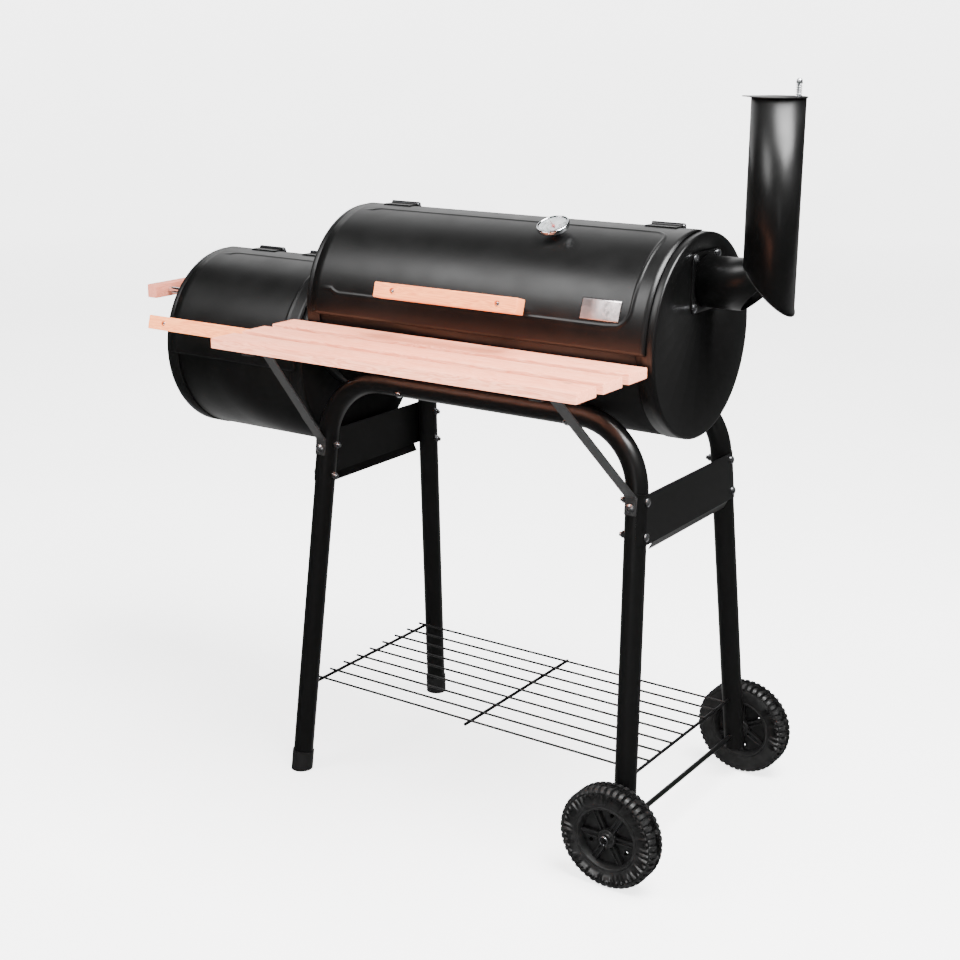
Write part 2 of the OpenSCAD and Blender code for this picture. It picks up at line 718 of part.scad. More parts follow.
module cap_bolts() color(zinc) at_main() {
    chimney_bolt_places(main_x1 + flange_t) rotate([0, 90, 0]) bolt(flange_t + sheet);
    collar_bolt_places(main_x0 + sheet) rotate([0, 90, 0]) bolt(barrel_gap + 2 * sheet, r = screw_r, tail = 2);
    translate([firebox_x0 - vent_gap - vent_t - vent_gap, 0, -firebox_drop - vent_drop]) rotate([0, -90, 0]) {
        dome_head(6, 2.5);
        translate([0, 0, -vent_t - 2 * vent_gap - sheet - 1])
            cylinder(r = vent_pin_r, h = vent_t + 2 * vent_gap + sheet + 1.5);
    }
}

vent_r = 42;
module air_vent() color(iron) placed() translate([firebox_x0 - vent_gap - vent_t, 0, firebox_axis - vent_drop]) {
    difference() {
        union() {
            rod_x(vent_r, 0, vent_t);
            translate([0, -6, vent_r - 4]) cube([vent_t, 12, 16]);
            translate([-12, -6, vent_r + 12 - vent_t]) cube([12 + vent_t, 12, vent_t]);
        }
        vent_pattern() rod_x(vent_hole_r, -5, 5);
        rod_x(vent_pin_r + pivot_clear, -5, 5);
    }
}

// ---- grates ----

rail_w = 10;
rail_t = 1.2;
grate_clear = 3;
function chord(cap_r, drop) = sqrt(pow(shell_in(cap_r), 2) - pow(drop, 2));

// A welded wire grate: a frame with bars across, its underside at z = 0
module grate(len_x, len_y, pitch) {
    bars = floor((len_x - 2 * grate_frame_r) / pitch);
    step = (len_x - 2 * grate_frame_r) / (bars + 1);
    translate([0, 0, grate_frame_r]) {
        for (sy = [-1, 1]) translate([0, sy * (len_y / 2 - grate_frame_r), 0])
            rod_x(grate_frame_r, -len_x / 2, len_x / 2);
        for (sx = [-1, 1]) translate([sx * (len_x / 2 - grate_frame_r), 0, 0])
            rod_y(grate_frame_r - 0.1, grate_frame_r - len_y / 2, len_y / 2 - grate_frame_r);
        translate([0, 0, grate_frame_r]) for (i = [1:bars])
            translate([i * step - len_x / 2 + grate_frame_r, 0, 0])
                rod_y(grate_bar_r, grate_frame_r / 2 - len_y / 2, len_y / 2 - grate_frame_r / 2);
    }
}

cooking_len = (barrel_len - 2 * sheet - 3 * grate_clear) / 2;
coal_drop = shell_in(barrel_r) - coal_lift;
fire_drop = shell_in(firebox_r) - fire_lift;
cooking_y = 2 * (chord(barrel_r, grate_drop) - grate_clear);
coal_y = 2 * (chord(barrel_r, coal_drop) - grate_clear);
fire_y = 2 * (chord(firebox_r, fire_drop) - grate_clear);
inner_gap = 2 * sheet + 2 * grate_clear;

module cooking_grate(sx) color(iron) at_main()
    translate([sx * (cooking_len + grate_clear) / 2, 0, -grate_drop]) grate(cooking_len, cooking_y, 20);
module cooking_grate_left() cooking_grate(-1);
module cooking_grate_right() cooking_grate(1);
module charcoal_grate() color(iron) at_main()
    translate([0, 0, -coal_drop]) grate(barrel_len - inner_gap, coal_y, 30);
module firebox_grate() color(iron) at_firebox()
    translate([0, 0, -fire_drop]) grate(firebox_len - inner_gap, fire_y, 25);

// Two angle rails inside a shell that carry a grate at the given depth
module rails(cap_r, drop, half) {
    start = asin((drop + rail_t) / shell_in(cap_r));
    for (m = [0, 1]) mirror([0, m, 0]) {
        intersection() {
            translate([-half, -far, -drop - rail_t]) cube([2 * half, far - chord(cap_r, drop) + rail_w, rail_t]);
            rotate([0, 90, 0]) cylinder(r = shell_in(cap_r), h = far, center = true, $fn = 96);
        }
        arc_sheet(shell_in(cap_r) - rail_t, shell_in(cap_r), -start - 4, -start + 0.3, -half, half);
    }
}

module grate_rails() color(iron) {
    at_main() rails(barrel_r, grate_drop, barrel_len / 2 - flange_w - 10);
    at_main() rails(barrel_r, coal_drop, barrel_len / 2 - flange_w - 10);
    at_firebox() rails(firebox_r, fire_drop, firebox_len / 2 - flange_w - 10);
}

// ---- stand ----

// One frame's tube: the top run, two bends and two legs, each a length of pipe
module frame_pipe(side) in_frame(side) {
    translate([-run_half - bend_lap, 0, 0]) rotate([0, 90, 0])
        tube(tube_r, tube_in, 2 * (run_half + bend_lap));
    for (sx = [-1, 1]) mirror([sx < 0 ? 1 : 0, 0, 0]) {
        bottom = sx < 0 ? along_leg(foot_floor) : along_leg(axle_z - leg_below_axle);
        translate([run_half, 0, -bend_r]) rotate([90, 0, 0]) rotate([0, 0, leg_lean])
            rotate_extrude(angle = turn) translate([bend_r, 0]) difference() {
                circle(r = tube_r + bend_swell);
                circle(r = tube_in - bend_swell);
            }
        translate([leg_spread, 0, 0]) rotate([0, -leg_lean, 0])
            translate([0, 0, -bottom]) tube(tube_r, tube_in, bottom - bend_tangent + bend_lap);
    }
}

module panel_bolt_places(sx) for (sy = [-1, 1]) for (z = panel_bolt_z)
    translate([sx * leg_x(z), sy * leg_y(z), z]) rotate([0, sx * (90 - panel_lean), 0]) children();

module strut_bolt_places() for (sx = [-1, 1])
    translate([sx * leg_x(strut_bolt_z), -leg_y(strut_bolt_z), strut_bolt_z]) rotate([90 - splay, 0, 0])
        children();

module stand_tube(side) color(black) placed() difference() {
    frame_pipe(side);
    cradle_places() translate([0, 0, -3 * tube_r]) cylinder(r = bolt_r + bolt_clear, h = 4 * tube_r);
    for (sx = [-1, 1]) {
        panel_bolt_places(sx) cylinder(r = bolt_r + bolt_clear, h = 4 * tube_r, center = true);
        translate([sx * leg_x(wire_shelf_z), side * leg_y(wire_shelf_z), wire_shelf_z])
            rod_y(cross_r + bolt_clear, side > 0 ? -2 * tube_r : 0, side > 0 ? 0 : 2 * tube_r);
    }
    if (side < 0) strut_bolt_places() cylinder(r = bolt_r + bolt_clear, h = 4 * tube_r, center = true);
    translate([axle_x, 0, axle_z]) rod_y(axle_r + bolt_clear, -far, far);
}
module front_frame() stand_tube(-1);
module rear_frame() stand_tube(1);

module side_panel(sx) color(black) placed() difference() {
    union() {
        translate([sx * leg_x(panel_top), 0, panel_top]) rotate([0, -sx * panel_lean, 0])
            translate([sx > 0 ? tube_r : -tube_r - sheet, 0, 0]) rotate([90, 0, 90]) linear_extrude(height = sheet)
                polygon([[-leg_y(panel_top), 0], [leg_y(panel_top), 0],
                         [leg_y(panel_bottom), -panel_h], [-leg_y(panel_bottom), -panel_h]]);
        translate([sx * leg_x(panel_bottom), 0, panel_bottom]) rotate([0, -sx * panel_lean, 0])
            translate([sx * (tube_r + sheet), 0, 0]) rotate([0, sx * lip_angle, 0])
                translate([sx > 0 ? -sheet : 0, tube_r + 4 - leg_y(panel_bottom), -lip_h])
                    cube([sheet, 2 * (leg_y(panel_bottom) - tube_r - 4), lip_h + sheet / 2]);
        for (sy = [-1, 1]) on_leg(sx, sy) translate([0, 0, -along_leg(panel_bottom)])
            rotate([0, 0, sx * sy > 0 ? (sx > 0 ? -1 : 179) : (sx > 0 ? 1 - tab_wrap : 181 - tab_wrap)])
                rotate_extrude(angle = tab_wrap) translate([tube_r, 0]) square([sheet, panel_h * leg_scale]);
    }
    panel_bolt_places(sx) cylinder(r = bolt_r + bolt_clear, h = 4 * tube_r, center = true);
}
module left_panel() side_panel(-1);
module right_panel() side_panel(1);

module foot(side) color(black) placed() intersection() {
    on_leg(-1, side) translate([0, 0, -along_leg(0)]) difference() {
        translate([0, 0, -10]) cylinder(r = tube_r + foot_wall, h = foot_h + 10);
        translate([0, 0, along_leg(0) - along_leg(foot_floor)]) cylinder(r = tube_r, h = foot_h);
    }
    translate([-far, -far, 0]) cube([2 * far, 2 * far, 100]);
}
module front_foot() foot(-1);
module rear_foot() foot(1);

module stand_bolts() color(zinc) placed() {
    for (sx = [-1, 1]) panel_bolt_places(sx) translate([0, 0, tube_r + sheet]) bolt(2 * tube_r + sheet);
    strut_bolt_places() translate([0, 0, tube_r + strap_t]) bolt(2 * tube_r + strap_t);
}

// A flat nut inside a round shell bears on its edges, so its face lies a little further in
nut_relief = 0.15;
module cradle_fasteners() color(zinc) placed() {
    cradle_places() bolt(2 * tube_r + sheet + nut_relief);
    bracket_bolt_places() bolt(strap_t + sheet + nut_relief);
}

// ---- wheels ----

module axle() color(black) placed() translate([axle_x, 0, axle_z]) difference() {
    rod_y(axle_r, -axle_half, axle_half);
    for (sy = [-1, 1]) translate([0, sy * (axle_half - 3.2), 0])
        cylinder(r = cotter_wire_r, h = 4 * axle_r, center = true);
}

module axle_washers() color(zinc) placed() translate([axle_x, 0, axle_z]) for (sy = [-1, 1])
    translate([0, sy * (wheel_inner_y - washer_t / 2 - 0.4), 0]) rotate([90, 0, 0])
        translate([0, 0, -washer_t / 2]) tube(axle_r + 5, axle_r, washer_t);

module axle_cotters() color(zinc) placed() translate([axle_x, 0, axle_z]) for (sy = [-1, 1])
    translate([0, sy * (axle_half - 3.2), 0]) {
        translate([0, 0, -axle_r - 3]) cylinder(r = cotter_wire_r, h = 2 * axle_r + 6);
        translate([0, sy * 1.2, 0]) rotate([90, 0, 0])
            rotate_extrude() translate([cotter_r + 0.6, 0]) circle(r = cotter_wire_r, $fn = 24);
    }

spokes = 6;
spoke_w = wheel_r * 0.13;
web_t = wheel_w * 0.2;
module wheel_window(angle) rotate([0, 0, angle]) intersection() {
    translate([0, 0, -far / 2]) linear_extrude(height = far)
        polygon([[0, 0], [far * cos(180 / spokes), far * sin(180 / spokes)],
                 [far * cos(180 / spokes), -far * sin(180 / spokes)]]);
    translate([spoke_w / 2 / sin(180 / spokes), 0, 0]) translate([0, 0, -far / 2])
        linear_extrude(height = far)
            polygon([[0, 0], [far * cos(180 / spokes), far * sin(180 / spokes)],
                     [far * cos(180 / spokes), -far * sin(180 / spokes)]]);
    tube(rim_r - 4, hub_r + 2, far, $fn = 96);
}

// A wheel along its axle: the outer face is at z = wheel_w
module wheel() difference() {
    rotate_extrude($fn = 96) polygon([
        [axle_r + axle_clear, 0], [hub_r, 0], [hub_r, (wheel_w - web_t) / 2],
        [rim_r - 2, (wheel_w - web_t) / 2], [rim_r, 3], [rim_r + 4, 0], [wheel_r - 7, 0], [wheel_r, 7],
        [wheel_r, wheel_w - 7], [wheel_r - 7, wheel_w], [rim_r + 4, wheel_w], [rim_r, wheel_w - 3],
        [rim_r - 2, (wheel_w + web_t) / 2], [hub_r, (wheel_w + web_t) / 2], [hub_r, wheel_w - 2],
        [axle_r + axle_clear, wheel_w - 2]
    ]);
    for (i = [0:spokes - 1]) translate([0, 0, -1]) wheel_window(i * 360 / spokes);
}
module front_wheel() color(black) placed() translate([axle_x, -wheel_inner_y, axle_z]) rotate([90, 0, 0]) wheel();
module rear_wheel() color(black) placed() translate([axle_x, wheel_inner_y, axle_z]) rotate([-90, 0, 0]) wheel();

// ---- wire shelf ----

module wire_shelf() color(black) placed() translate([0, 0, wire_shelf_z]) {
    end_x = leg_x(wire_shelf_z);
    reach = leg_y(wire_shelf_z) - tube_r / 2;
    for (sx = [-1, 1]) translate([sx * end_x, 0, 0]) rod_y(cross_r, -reach, reach);
    half = leg_y(wire_shelf_z) - wire_edge;
    pitch = 2 * half / (wire_count - 1);
    rod_y(cross_r, -half - 10, half + 10);
    for (i = [0:wire_count - 1])
        translate([0, i * pitch - half, cross_r + wire_r - 1])
            rod_x(wire_r, -end_x - 10, end_x + 3);
}

// ---- plank shelf ----

module plank(i) color(wood) placed()
    translate([shelf_shift, plank_y(i), shelf_under]) difference() {
        translate([0, 0, plank_t / 2]) rotate([90, 0, 90]) linear_extrude(height = plank_len, center = true)
            rounded_rect(plank_w, plank_t, 1.5);
        for (sx = [-1, 1]) for (dy = i == 2 ? [-10, 10] : [0])
            translate([sx * bracket_x, dy, -1]) cylinder(r = screw_r, h = plank_t - 3);
    }
module plank_front() plank(2);
module plank_middle() plank(1);
module plank_rear() plank(0);

// The bracket bolt points into the shell, just under the shelf
module bracket_bolt_places() for (sx = [-1, 1])
    translate([shelf_shift + sx * bracket_x, 0, axis_height])
        on_barrel(0, -bracket_angle - bracket_tab / 2 - 1, shell_out(barrel_r) + strap_t) children();

module shelf_bracket(sx) color(black) placed() difference() {
    union() {
        translate([shelf_shift + sx * bracket_x - strap_w / 2, shelf_front + 4, shelf_under - strap_t])
            cube([strap_w, -shelf_front - 4 - bracket_root, strap_t]);
        translate([0, 0, axis_height])
            arc_sheet(shell_out(barrel_r), shell_out(barrel_r) + strap_t, -bracket_angle - bracket_tab,
                      -bracket_angle + 1, shelf_shift + sx * bracket_x - strap_w / 2,
                      shelf_shift + sx * bracket_x + strap_w / 2);
    }
    bracket_bolt_places() cylinder(r = bolt_r + bolt_clear, h = 20, center = true);
    shelf_screw_places(sx) cylinder(r = screw_r + bolt_clear, h = 20, center = true);
}
// Where the bracket's flat meets its curved tab
bracket_root = sqrt(pow(shell_out(barrel_r) + strap_t / 2, 2) - pow(shelf_drop + plank_t, 2));
module shelf_bracket_left() shelf_bracket(-1);
module shelf_bracket_right() shelf_bracket(1);

module shelf_screw_places(sx) for (p = [[0, 0], [1, 0], [2, -10], [2, 10]])
    translate([shelf_shift + sx * bracket_x, plank_y(p[0]) + p[1], shelf_under]) children();

module shelf_screws() color(zinc) placed() for (sx = [-1, 1]) {
    for (p = [[0, 0, 0], [1, 0, 0], [2, -10, 1], [2, 10, 1]])
        translate([shelf_shift + sx * bracket_x, plank_y(p[0]) + p[1], shelf_under - strap_t * (1 + p[2])])
            rotate([180, 0, 0]) screw(strap_t * (1 + p[2]) + plank_t - 5);
}

strut_tab = 20;
module strut(sx) color("#3a3a3c") placed() {
    top_x = shelf_shift + sx * bracket_x;
    top_z0 = shelf_under - 2 * strap_t;
    foot_y = -tube_r - strap_t;
    difference() {
        translate([top_x - strap_w / 2, strut_top_y - strut_tab, top_z0]) cube([strap_w, 2 * strut_tab, strap_t]);
        shelf_screw_places(sx) cylinder(r = screw_r + bolt_clear, h = 40, center = true);
    }
    difference() {
        strut_foot(sx) translate([-strap_w / 2, foot_y, -10]) cube([strap_w, strap_t, 26]);
        strut_bolt_places() cylinder(r = bolt_r + bolt_clear, h = 80, center = true);
    }
    hull() {
        strut_foot(sx) translate([tuck - strap_w / 2, foot_y + tuck, 14])
            cube([strap_w - 2 * tuck, strap_t - 2 * tuck, 1]);
        translate([top_x + tuck - strap_w / 2, strut_top_y + strut_tab - 2, top_z0 + tuck])
            cube([strap_w - 2 * tuck, 1, strap_t - 2 * tuck]);
    }
}
module strut_foot(sx) translate([sx * leg_x(strut_bolt_z), -leg_y(strut_bolt_z), strut_bolt_z])
    rotate([-splay, 0, 0]) children();
module strut_left() strut(-1);
module strut_right() strut(1);

main_shell();
main_cap_left();
main_cap_right();
firebox_shell();
firebox_cap_left();
firebox_cap_right();
heat_collar();
chimney_flange();
chimney_elbow();
chimney_pipe();
damper_bolt();
damper_spring();
cooking_grate_left();
cooking_grate_right();
charcoal_grate();
firebox_grate();
grate_rails();
front_frame();
rear_frame();
left_panel();
right_panel();
front_foot();
rear_foot();
axle();
axle_washers();
axle_cotters();
wire_shelf();
plank_front();
plank_middle();
plank_rear();
shelf_bracket_left();
shelf_bracket_right();
strut_left();
strut_right();
shelf_screws();
stand_bolts();
cradle_fasteners();
cap_bolts();
carry_handle();
carry_handle_bolts();
fixed_hinge_leaves();
hinge_pins();
main_lid();
main_lid_leaves();
main_handle();
main_handle_bolts();
thermometer_case();
thermometer_dial();
thermometer_glass();
thermometer_needle();
name_plate();
firebox_lid();
firebox_lid_leaves();
firebox_handle();
firebox_handle_bolts();
chimney_cap();
air_vent();
front_wheel();
rear_wheel();
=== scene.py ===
"""Offset smoker: a charcoal barrel grill with a side firebox, a chimney and a wheeled tube stand."""

import json
import math

import bmesh
import bpy
from mathutils import Matrix, Vector


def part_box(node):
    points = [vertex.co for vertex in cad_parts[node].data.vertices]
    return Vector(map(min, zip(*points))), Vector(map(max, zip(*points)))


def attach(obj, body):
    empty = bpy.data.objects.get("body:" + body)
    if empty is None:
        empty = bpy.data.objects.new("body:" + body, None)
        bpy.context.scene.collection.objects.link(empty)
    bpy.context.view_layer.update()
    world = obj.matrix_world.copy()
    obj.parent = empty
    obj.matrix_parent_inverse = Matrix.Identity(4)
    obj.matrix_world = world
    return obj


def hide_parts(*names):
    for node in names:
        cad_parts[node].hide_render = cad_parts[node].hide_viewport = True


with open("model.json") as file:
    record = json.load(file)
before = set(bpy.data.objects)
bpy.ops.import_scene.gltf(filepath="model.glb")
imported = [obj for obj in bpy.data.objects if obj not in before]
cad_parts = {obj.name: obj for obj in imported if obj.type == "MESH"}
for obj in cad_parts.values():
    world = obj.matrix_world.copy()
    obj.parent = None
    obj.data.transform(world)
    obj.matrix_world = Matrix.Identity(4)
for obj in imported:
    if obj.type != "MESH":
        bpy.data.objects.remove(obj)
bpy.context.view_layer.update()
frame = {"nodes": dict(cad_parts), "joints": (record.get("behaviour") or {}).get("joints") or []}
CAD = frame["nodes"]
MM = 0.001
SHEET = 1.2 * MM
SAME_SPOT = 0.002 * MM


# ---- bench tools ----


def new_piece(name, bm, body, finish, nodes=(), crease=30, wall=0.0, outward=True):
    """Ends a bmesh: merges its points, gives it its finish and its wall, and lets it ride on its body."""
    bmesh.ops.remove_doubles(bm, verts=bm.verts, dist=SAME_SPOT)
    if outward:
        bmesh.ops.recalc_face_normals(bm, faces=bm.faces)
    mesh = bpy.data.meshes.new(name)
    bm.to_mesh(mesh)
    bm.free()
    mesh.shade_smooth()
    mesh.set_sharp_from_angle(angle=math.radians(crease))
    mesh.materials.append(finish)
    piece = bpy.data.objects.new(name, mesh)
    bpy.context.scene.collection.objects.link(piece)
    if wall:
        thickness = piece.modifiers.new("wall", "SOLIDIFY")
        thickness.thickness = wall
        thickness.offset = -1
    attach(piece, body)
    if nodes:
        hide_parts(*nodes)


def add_mesh(bm, other, place):
    """Moves another bmesh to its place, puts it into this one and frees it."""
    bmesh.ops.transform(other, matrix=place, verts=other.verts)
    carrier = bpy.data.meshes.new("carrier")
    other.to_mesh(carrier)
    other.free()
    bm.from_mesh(carrier)
    bpy.data.meshes.remove(carrier)


def many(make, places):
    """One bmesh that holds a shape at each of several places."""
    bm = bmesh.new()
    for place in places:
        add_mesh(bm, make(), place)
    return bm


def lathe(profile, steps=64, sweep=360.0):
    """Turns a profile of (radius, height) points round Z."""
    bm = bmesh.new()
    verts = [bm.verts.new((r, 0, z)) for r, z in profile]
    edges = [bm.edges.new(pair) for pair in zip(verts, verts[1:])]
    full = sweep >= 360
    bmesh.ops.spin(bm, geom=verts + edges, cent=(0, 0, 0), axis=(0, 0, 1), dvec=(0, 0, 0),
                   angle=math.radians(sweep), steps=steps, use_merge=full)
    bmesh.ops.remove_doubles(bm, verts=bm.verts, dist=SAME_SPOT)
    bmesh.ops.recalc_face_normals(bm, faces=bm.faces)
    return bm


def arc(cx, cy, r, a0, a1, count=6):
    """Points on an arc, with angles in degrees."""
    turns = [math.radians(a0 + (a1 - a0) * i / count) for i in range(count + 1)]
    return [(cx + r * math.cos(t), cy + r * math.sin(t)) for t in turns]


def soften(bm, edges, offset, segments=2):
    """Rounds some edges of a bmesh."""
    bmesh.ops.bevel(bm, geom=edges, offset=offset, segments=segments, profile=0.5, affect="EDGES",
                    material=-1, clamp_overlap=True)


def round_box(size, r, segments=3):
    """A box of the given size about the origin with rounded edges."""
    bm = bmesh.new()
    bmesh.ops.create_cube(bm, size=1)
    bmesh.ops.scale(bm, vec=size, verts=bm.verts)
    soften(bm, bm.edges[:], r, segments)
    return bm


def moved(bm, place):
    """The same bmesh, moved to its place."""
    bmesh.ops.transform(bm, matrix=place, verts=bm.verts)
    return bm


def only_verts(geometry):
    """The points in a list of points, edges and faces."""
    return [e for e in geometry if isinstance(e, bmesh.types.BMVert)]


def is_level(edge):
    """Whether an edge lies flat, across local Z."""
    return abs(edge.verts[0].co.z - edge.verts[1].co.z) < 1e-7


def add_rings(bm, rings):
    """Puts closed outlines on z = 0 and fills the space between them."""
    for ring in rings:
        verts = [bm.verts.new((x, y, 0)) for x, y in ring]
        for pair in zip(verts, verts[1:] + verts[:1]):
            bm.edges.new(pair)
    bmesh.ops.triangle_fill(bm, edges=bm.edges[:], use_beauty=True)


def rounded_outline(w, h, r):
    """A rectangle's outline with round corners."""
    corners = [(1, 1, 0), (-1, 1, 90), (-1, -1, 180), (1, -1, 270)]
    return [p for sx, sy, a in corners
            for p in arc(sx * (w / 2 - r), sy * (h / 2 - r), r, a, a + 90)]


def flat_plate(outline, depth, holes=(), edge=0.0):
    """A flat plate on z = 0 that rises to depth, with round holes given as (x, y, radius)."""
    bm = bmesh.new()
    add_rings(bm, [outline] + [arc(x, y, r, 0, 345, 23) for x, y, r in holes])
    bmesh.ops.dissolve_limit(bm, angle_limit=math.radians(1), verts=bm.verts[:], edges=bm.edges[:])
    raised = bmesh.ops.extrude_face_region(bm, geom=bm.faces[:], use_keep_orig=True)["geom"]
    bmesh.ops.translate(bm, vec=(0, 0, depth), verts=only_verts(raised))
    bmesh.ops.recalc_face_normals(bm, faces=bm.faces)
    if edge:
        soften(bm, [e for e in bm.edges if e.is_manifold and e.calc_face_angle() > math.radians(50)
                    and is_level(e)], edge)
    return bm


def drill(bm, centres, r, depth):
    """Sinks round blind holes of that depth into the topmost flat face."""
    margin = 0.4 * MM
    top = max(bm.faces, key=lambda f: (round(f.calc_center_median().z, 6), f.calc_area()))
    bmesh.ops.inset_region(bm, faces=[top], thickness=margin, use_even_offset=True)
    border, level = top.edges[:], top.calc_center_median().z
    bmesh.ops.delete(bm, geom=[top], context="FACES_ONLY")
    rims = []
    for x, y in centres:
        ring = [bm.verts.new((px, py, level)) for px, py in arc(x, y, r, 0, 345, 23)]
        rims.append([bm.edges.new(pair) for pair in zip(ring, ring[1:] + ring[:1])])
    bmesh.ops.triangle_fill(bm, edges=border + [e for rim in rims for e in rim], use_beauty=True)
    for rim in rims:
        sunk = bmesh.ops.extrude_edge_only(bm, edges=rim)["geom"]
        verts = only_verts(sunk)
        bmesh.ops.translate(bm, vec=(0, 0, -depth), verts=verts)
        floor = [e for e in sunk if isinstance(e, bmesh.types.BMEdge) and all(v in verts for v in e.verts)]
        bmesh.ops.edgeloop_fill(bm, edges=floor)


def turned(degrees, axis):
    """A turn about one of the axes, by name."""
    return Matrix.Rotation(math.radians(degrees), 4, axis)


def shifted(*offset):
    """A move by x, y and z."""
    return Matrix.Translation(Vector(offset))


def joint(name):
    """The frame's record of one joint."""
    return next(j for j in frame["joints"] if j["name"] == name)


# ---- the object's main lines, from the frame ----


class Barrel:
    """A barrel's axis, ends and radii. Angles count up from the front, over the top, to the rear."""

    def __init__(self, name):
        left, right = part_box(name + "_cap_left"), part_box(name + "_cap_right")
        self.x0, self.x1 = left[0].x, right[1].x
        self.mid = (self.x0 + self.x1) / 2
        self.y, self.z = (right[0].y + right[1].y) / 2, (right[0].z + right[1].z) / 2
        self.cap_r = (right[1].z - right[0].z) / 2
        self.flange = left[1].x - left[0].x
        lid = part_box(name + "_lid")
        self.lid_half = (lid[1].x - lid[0].x) / 2
        self.lid_r = lid[1].z - self.z

    def place(self, x, angle, radius):
        """A spot on the barrel: local X runs along it and local Z points straight out."""
        return shifted(x, self.y, self.z) @ turned(90 - angle, "X") @ shifted(0, 0, radius)

    def end(self, side):
        """A spot on an end's centre: local Z points out along the barrel, and local Y is up."""
        x = self.x1 if side > 0 else self.x0
        return shifted(x, self.y, self.z) @ turned(90 * side, "Z") @ turned(90, "X")


MAIN = Barrel("main")
FIREBOX = Barrel("firebox")
ROOT = "stand_and_barrels"


# ---- finishes ----


def color_ramp(nodes, links, value, stops):
    """Colours along a value: each stop is a place from 0 to 1 and a grey level or a colour."""
    node = nodes.new("ShaderNodeValToRGB")
    points = node.color_ramp.elements
    while len(points) < len(stops):
        points.new(0.5)
    for point, (at, colour) in zip(points, stops):
        point.position = at
        point.color = (*colour, 1) if isinstance(colour, tuple) else (colour, colour, colour, 1)
    links.new(value, node.inputs["Fac"])
    return node.outputs["Color"]


class Finish:
    """A material's node tree, with short calls for the nodes that its pattern needs."""

    def __init__(self, name, base, rough, metal=0.0, specular=0.5):
        self.material = bpy.data.materials.new(name)
        self.material.use_nodes = True
        self.nodes, self.links = self.material.node_tree.nodes, self.material.node_tree.links
        self.shader = self.nodes["Principled BSDF"]
        self.shader.inputs["Base Color"].default_value = (*base, 1)
        self.shader.inputs["Roughness"].default_value = rough
        self.shader.inputs["Metallic"].default_value = metal
        self.shader.inputs["Specular IOR Level"].default_value = specular
        self.where = self.nodes.new("ShaderNodeTexCoord").outputs["Object"]

    def stretched(self, scale):
        """The object's own coordinates with a scale for each axis."""
        mapping = self.nodes.new("ShaderNodeMapping")
        mapping.inputs["Scale"].default_value = scale
        self.links.new(self.where, mapping.inputs["Vector"])
        return mapping.outputs["Vector"]

    def noise(self, scale, detail=2.0, where=None, distortion=0.0):
        """Soft noise in the object's own coordinates, or in those given."""
        node = self.nodes.new("ShaderNodeTexNoise")
        node.inputs["Scale"].default_value = scale
        node.inputs["Detail"].default_value = detail
        node.inputs["Distortion"].default_value = distortion
        self.links.new(where or self.where, node.inputs["Vector"])
        return node.outputs["Fac"]

    def ramp(self, value, stops):
        """Colours along a value in this material."""
        return color_ramp(self.nodes, self.links, value, stops)

    def maths(self, operation, value, operand):
        """One sum on a value and a constant."""
        node = self.nodes.new("ShaderNodeMath")
        node.operation = operation
        node.inputs[1].default_value = operand
        self.links.new(value, node.inputs[0])
        return node.outputs[0]

    def mix(self, share, first, second):
        """Blends two colours by a share, each of the three a constant or a socket."""
        node = self.nodes.new("ShaderNodeMix")
        node.data_type = "RGBA"
        for value, socket in ((share, node.inputs[0]), (first, node.inputs[6]), (second, node.inputs[7])):
            if isinstance(value, bpy.types.NodeSocket):
                self.links.new(value, socket)
            else:
                socket.default_value = value if isinstance(value, float) else (*value, 1)
        return node.outputs[2]

    def use(self, name, value):
        """Links a value to one of the shader's sockets."""
        self.links.new(value, self.shader.inputs[name])

    def bump(self, height, depth):
        """Adds relief whose full height is depth."""
        node = self.nodes.new("ShaderNodeBump")
        node.inputs["Distance"].default_value = depth
        node.inputs["Strength"].default_value = 1.0
        self.links.new(height, node.inputs["Height"])
        self.use("Normal", node.outputs["Normal"])


def black_paint():
    """Satin stove paint with a fine orange peel and faint uneven patches."""
    base, rough = 0.0018, 0.35
    paint = Finish("barrel_paint", (base, base, base), rough, specular=0.34)
    patches = paint.noise(9.0, 3.0)
    paint.use("Base Color", paint.ramp(patches, [(0.3, base * 0.8), (0.7, base * 1.25)]))
    paint.use("Roughness", paint.ramp(paint.noise(22.0, 4.0), [(0.3, rough - 0.03), (0.7, rough + 0.05)]))
    paint.bump(paint.noise(450.0, 1.0), 0.006 * MM)
    return paint.material


def powder_coat():
    """Glossier black coat on the tubes and folded sheet."""
    coat = Finish("tube_powder_coat", (0.0018, 0.0018, 0.0018), 0.28, specular=0.4)
    coat.use("Roughness", coat.ramp(coat.noise(12.0, 2.0), [(0.3, 0.28), (0.7, 0.33)]))
    coat.bump(coat.noise(500.0, 1.0), 0.004 * MM)
    return coat.material


def strap_coat():
    """Dark grey strap steel with a slightly grainy coat."""
    strap = Finish("strap_coat", (0.01, 0.01, 0.01), 0.45)
    grain = strap.noise(420.0, 4.0)
    strap.use("Base Color", strap.ramp(grain, [(0.3, 0.007), (0.75, 0.014)]))
    strap.bump(grain, 0.02 * MM)
    return strap.material


def grate_wire():
    """Bare grate steel with the dull film that heat leaves."""
    wire = Finish("grate_wire", (0.08, 0.078, 0.075), 0.45, metal=0.8)
    film = wire.noise(60.0, 5.0)
    wire.use("Base Color", wire.ramp(film, [(0.35, (0.05, 0.047, 0.045)), (0.7, (0.13, 0.125, 0.12))]))
    wire.bump(wire.noise(800.0, 2.0), 0.02 * MM)
    return wire.material


KNOT_BROWN = (0.16, 0.07, 0.04)


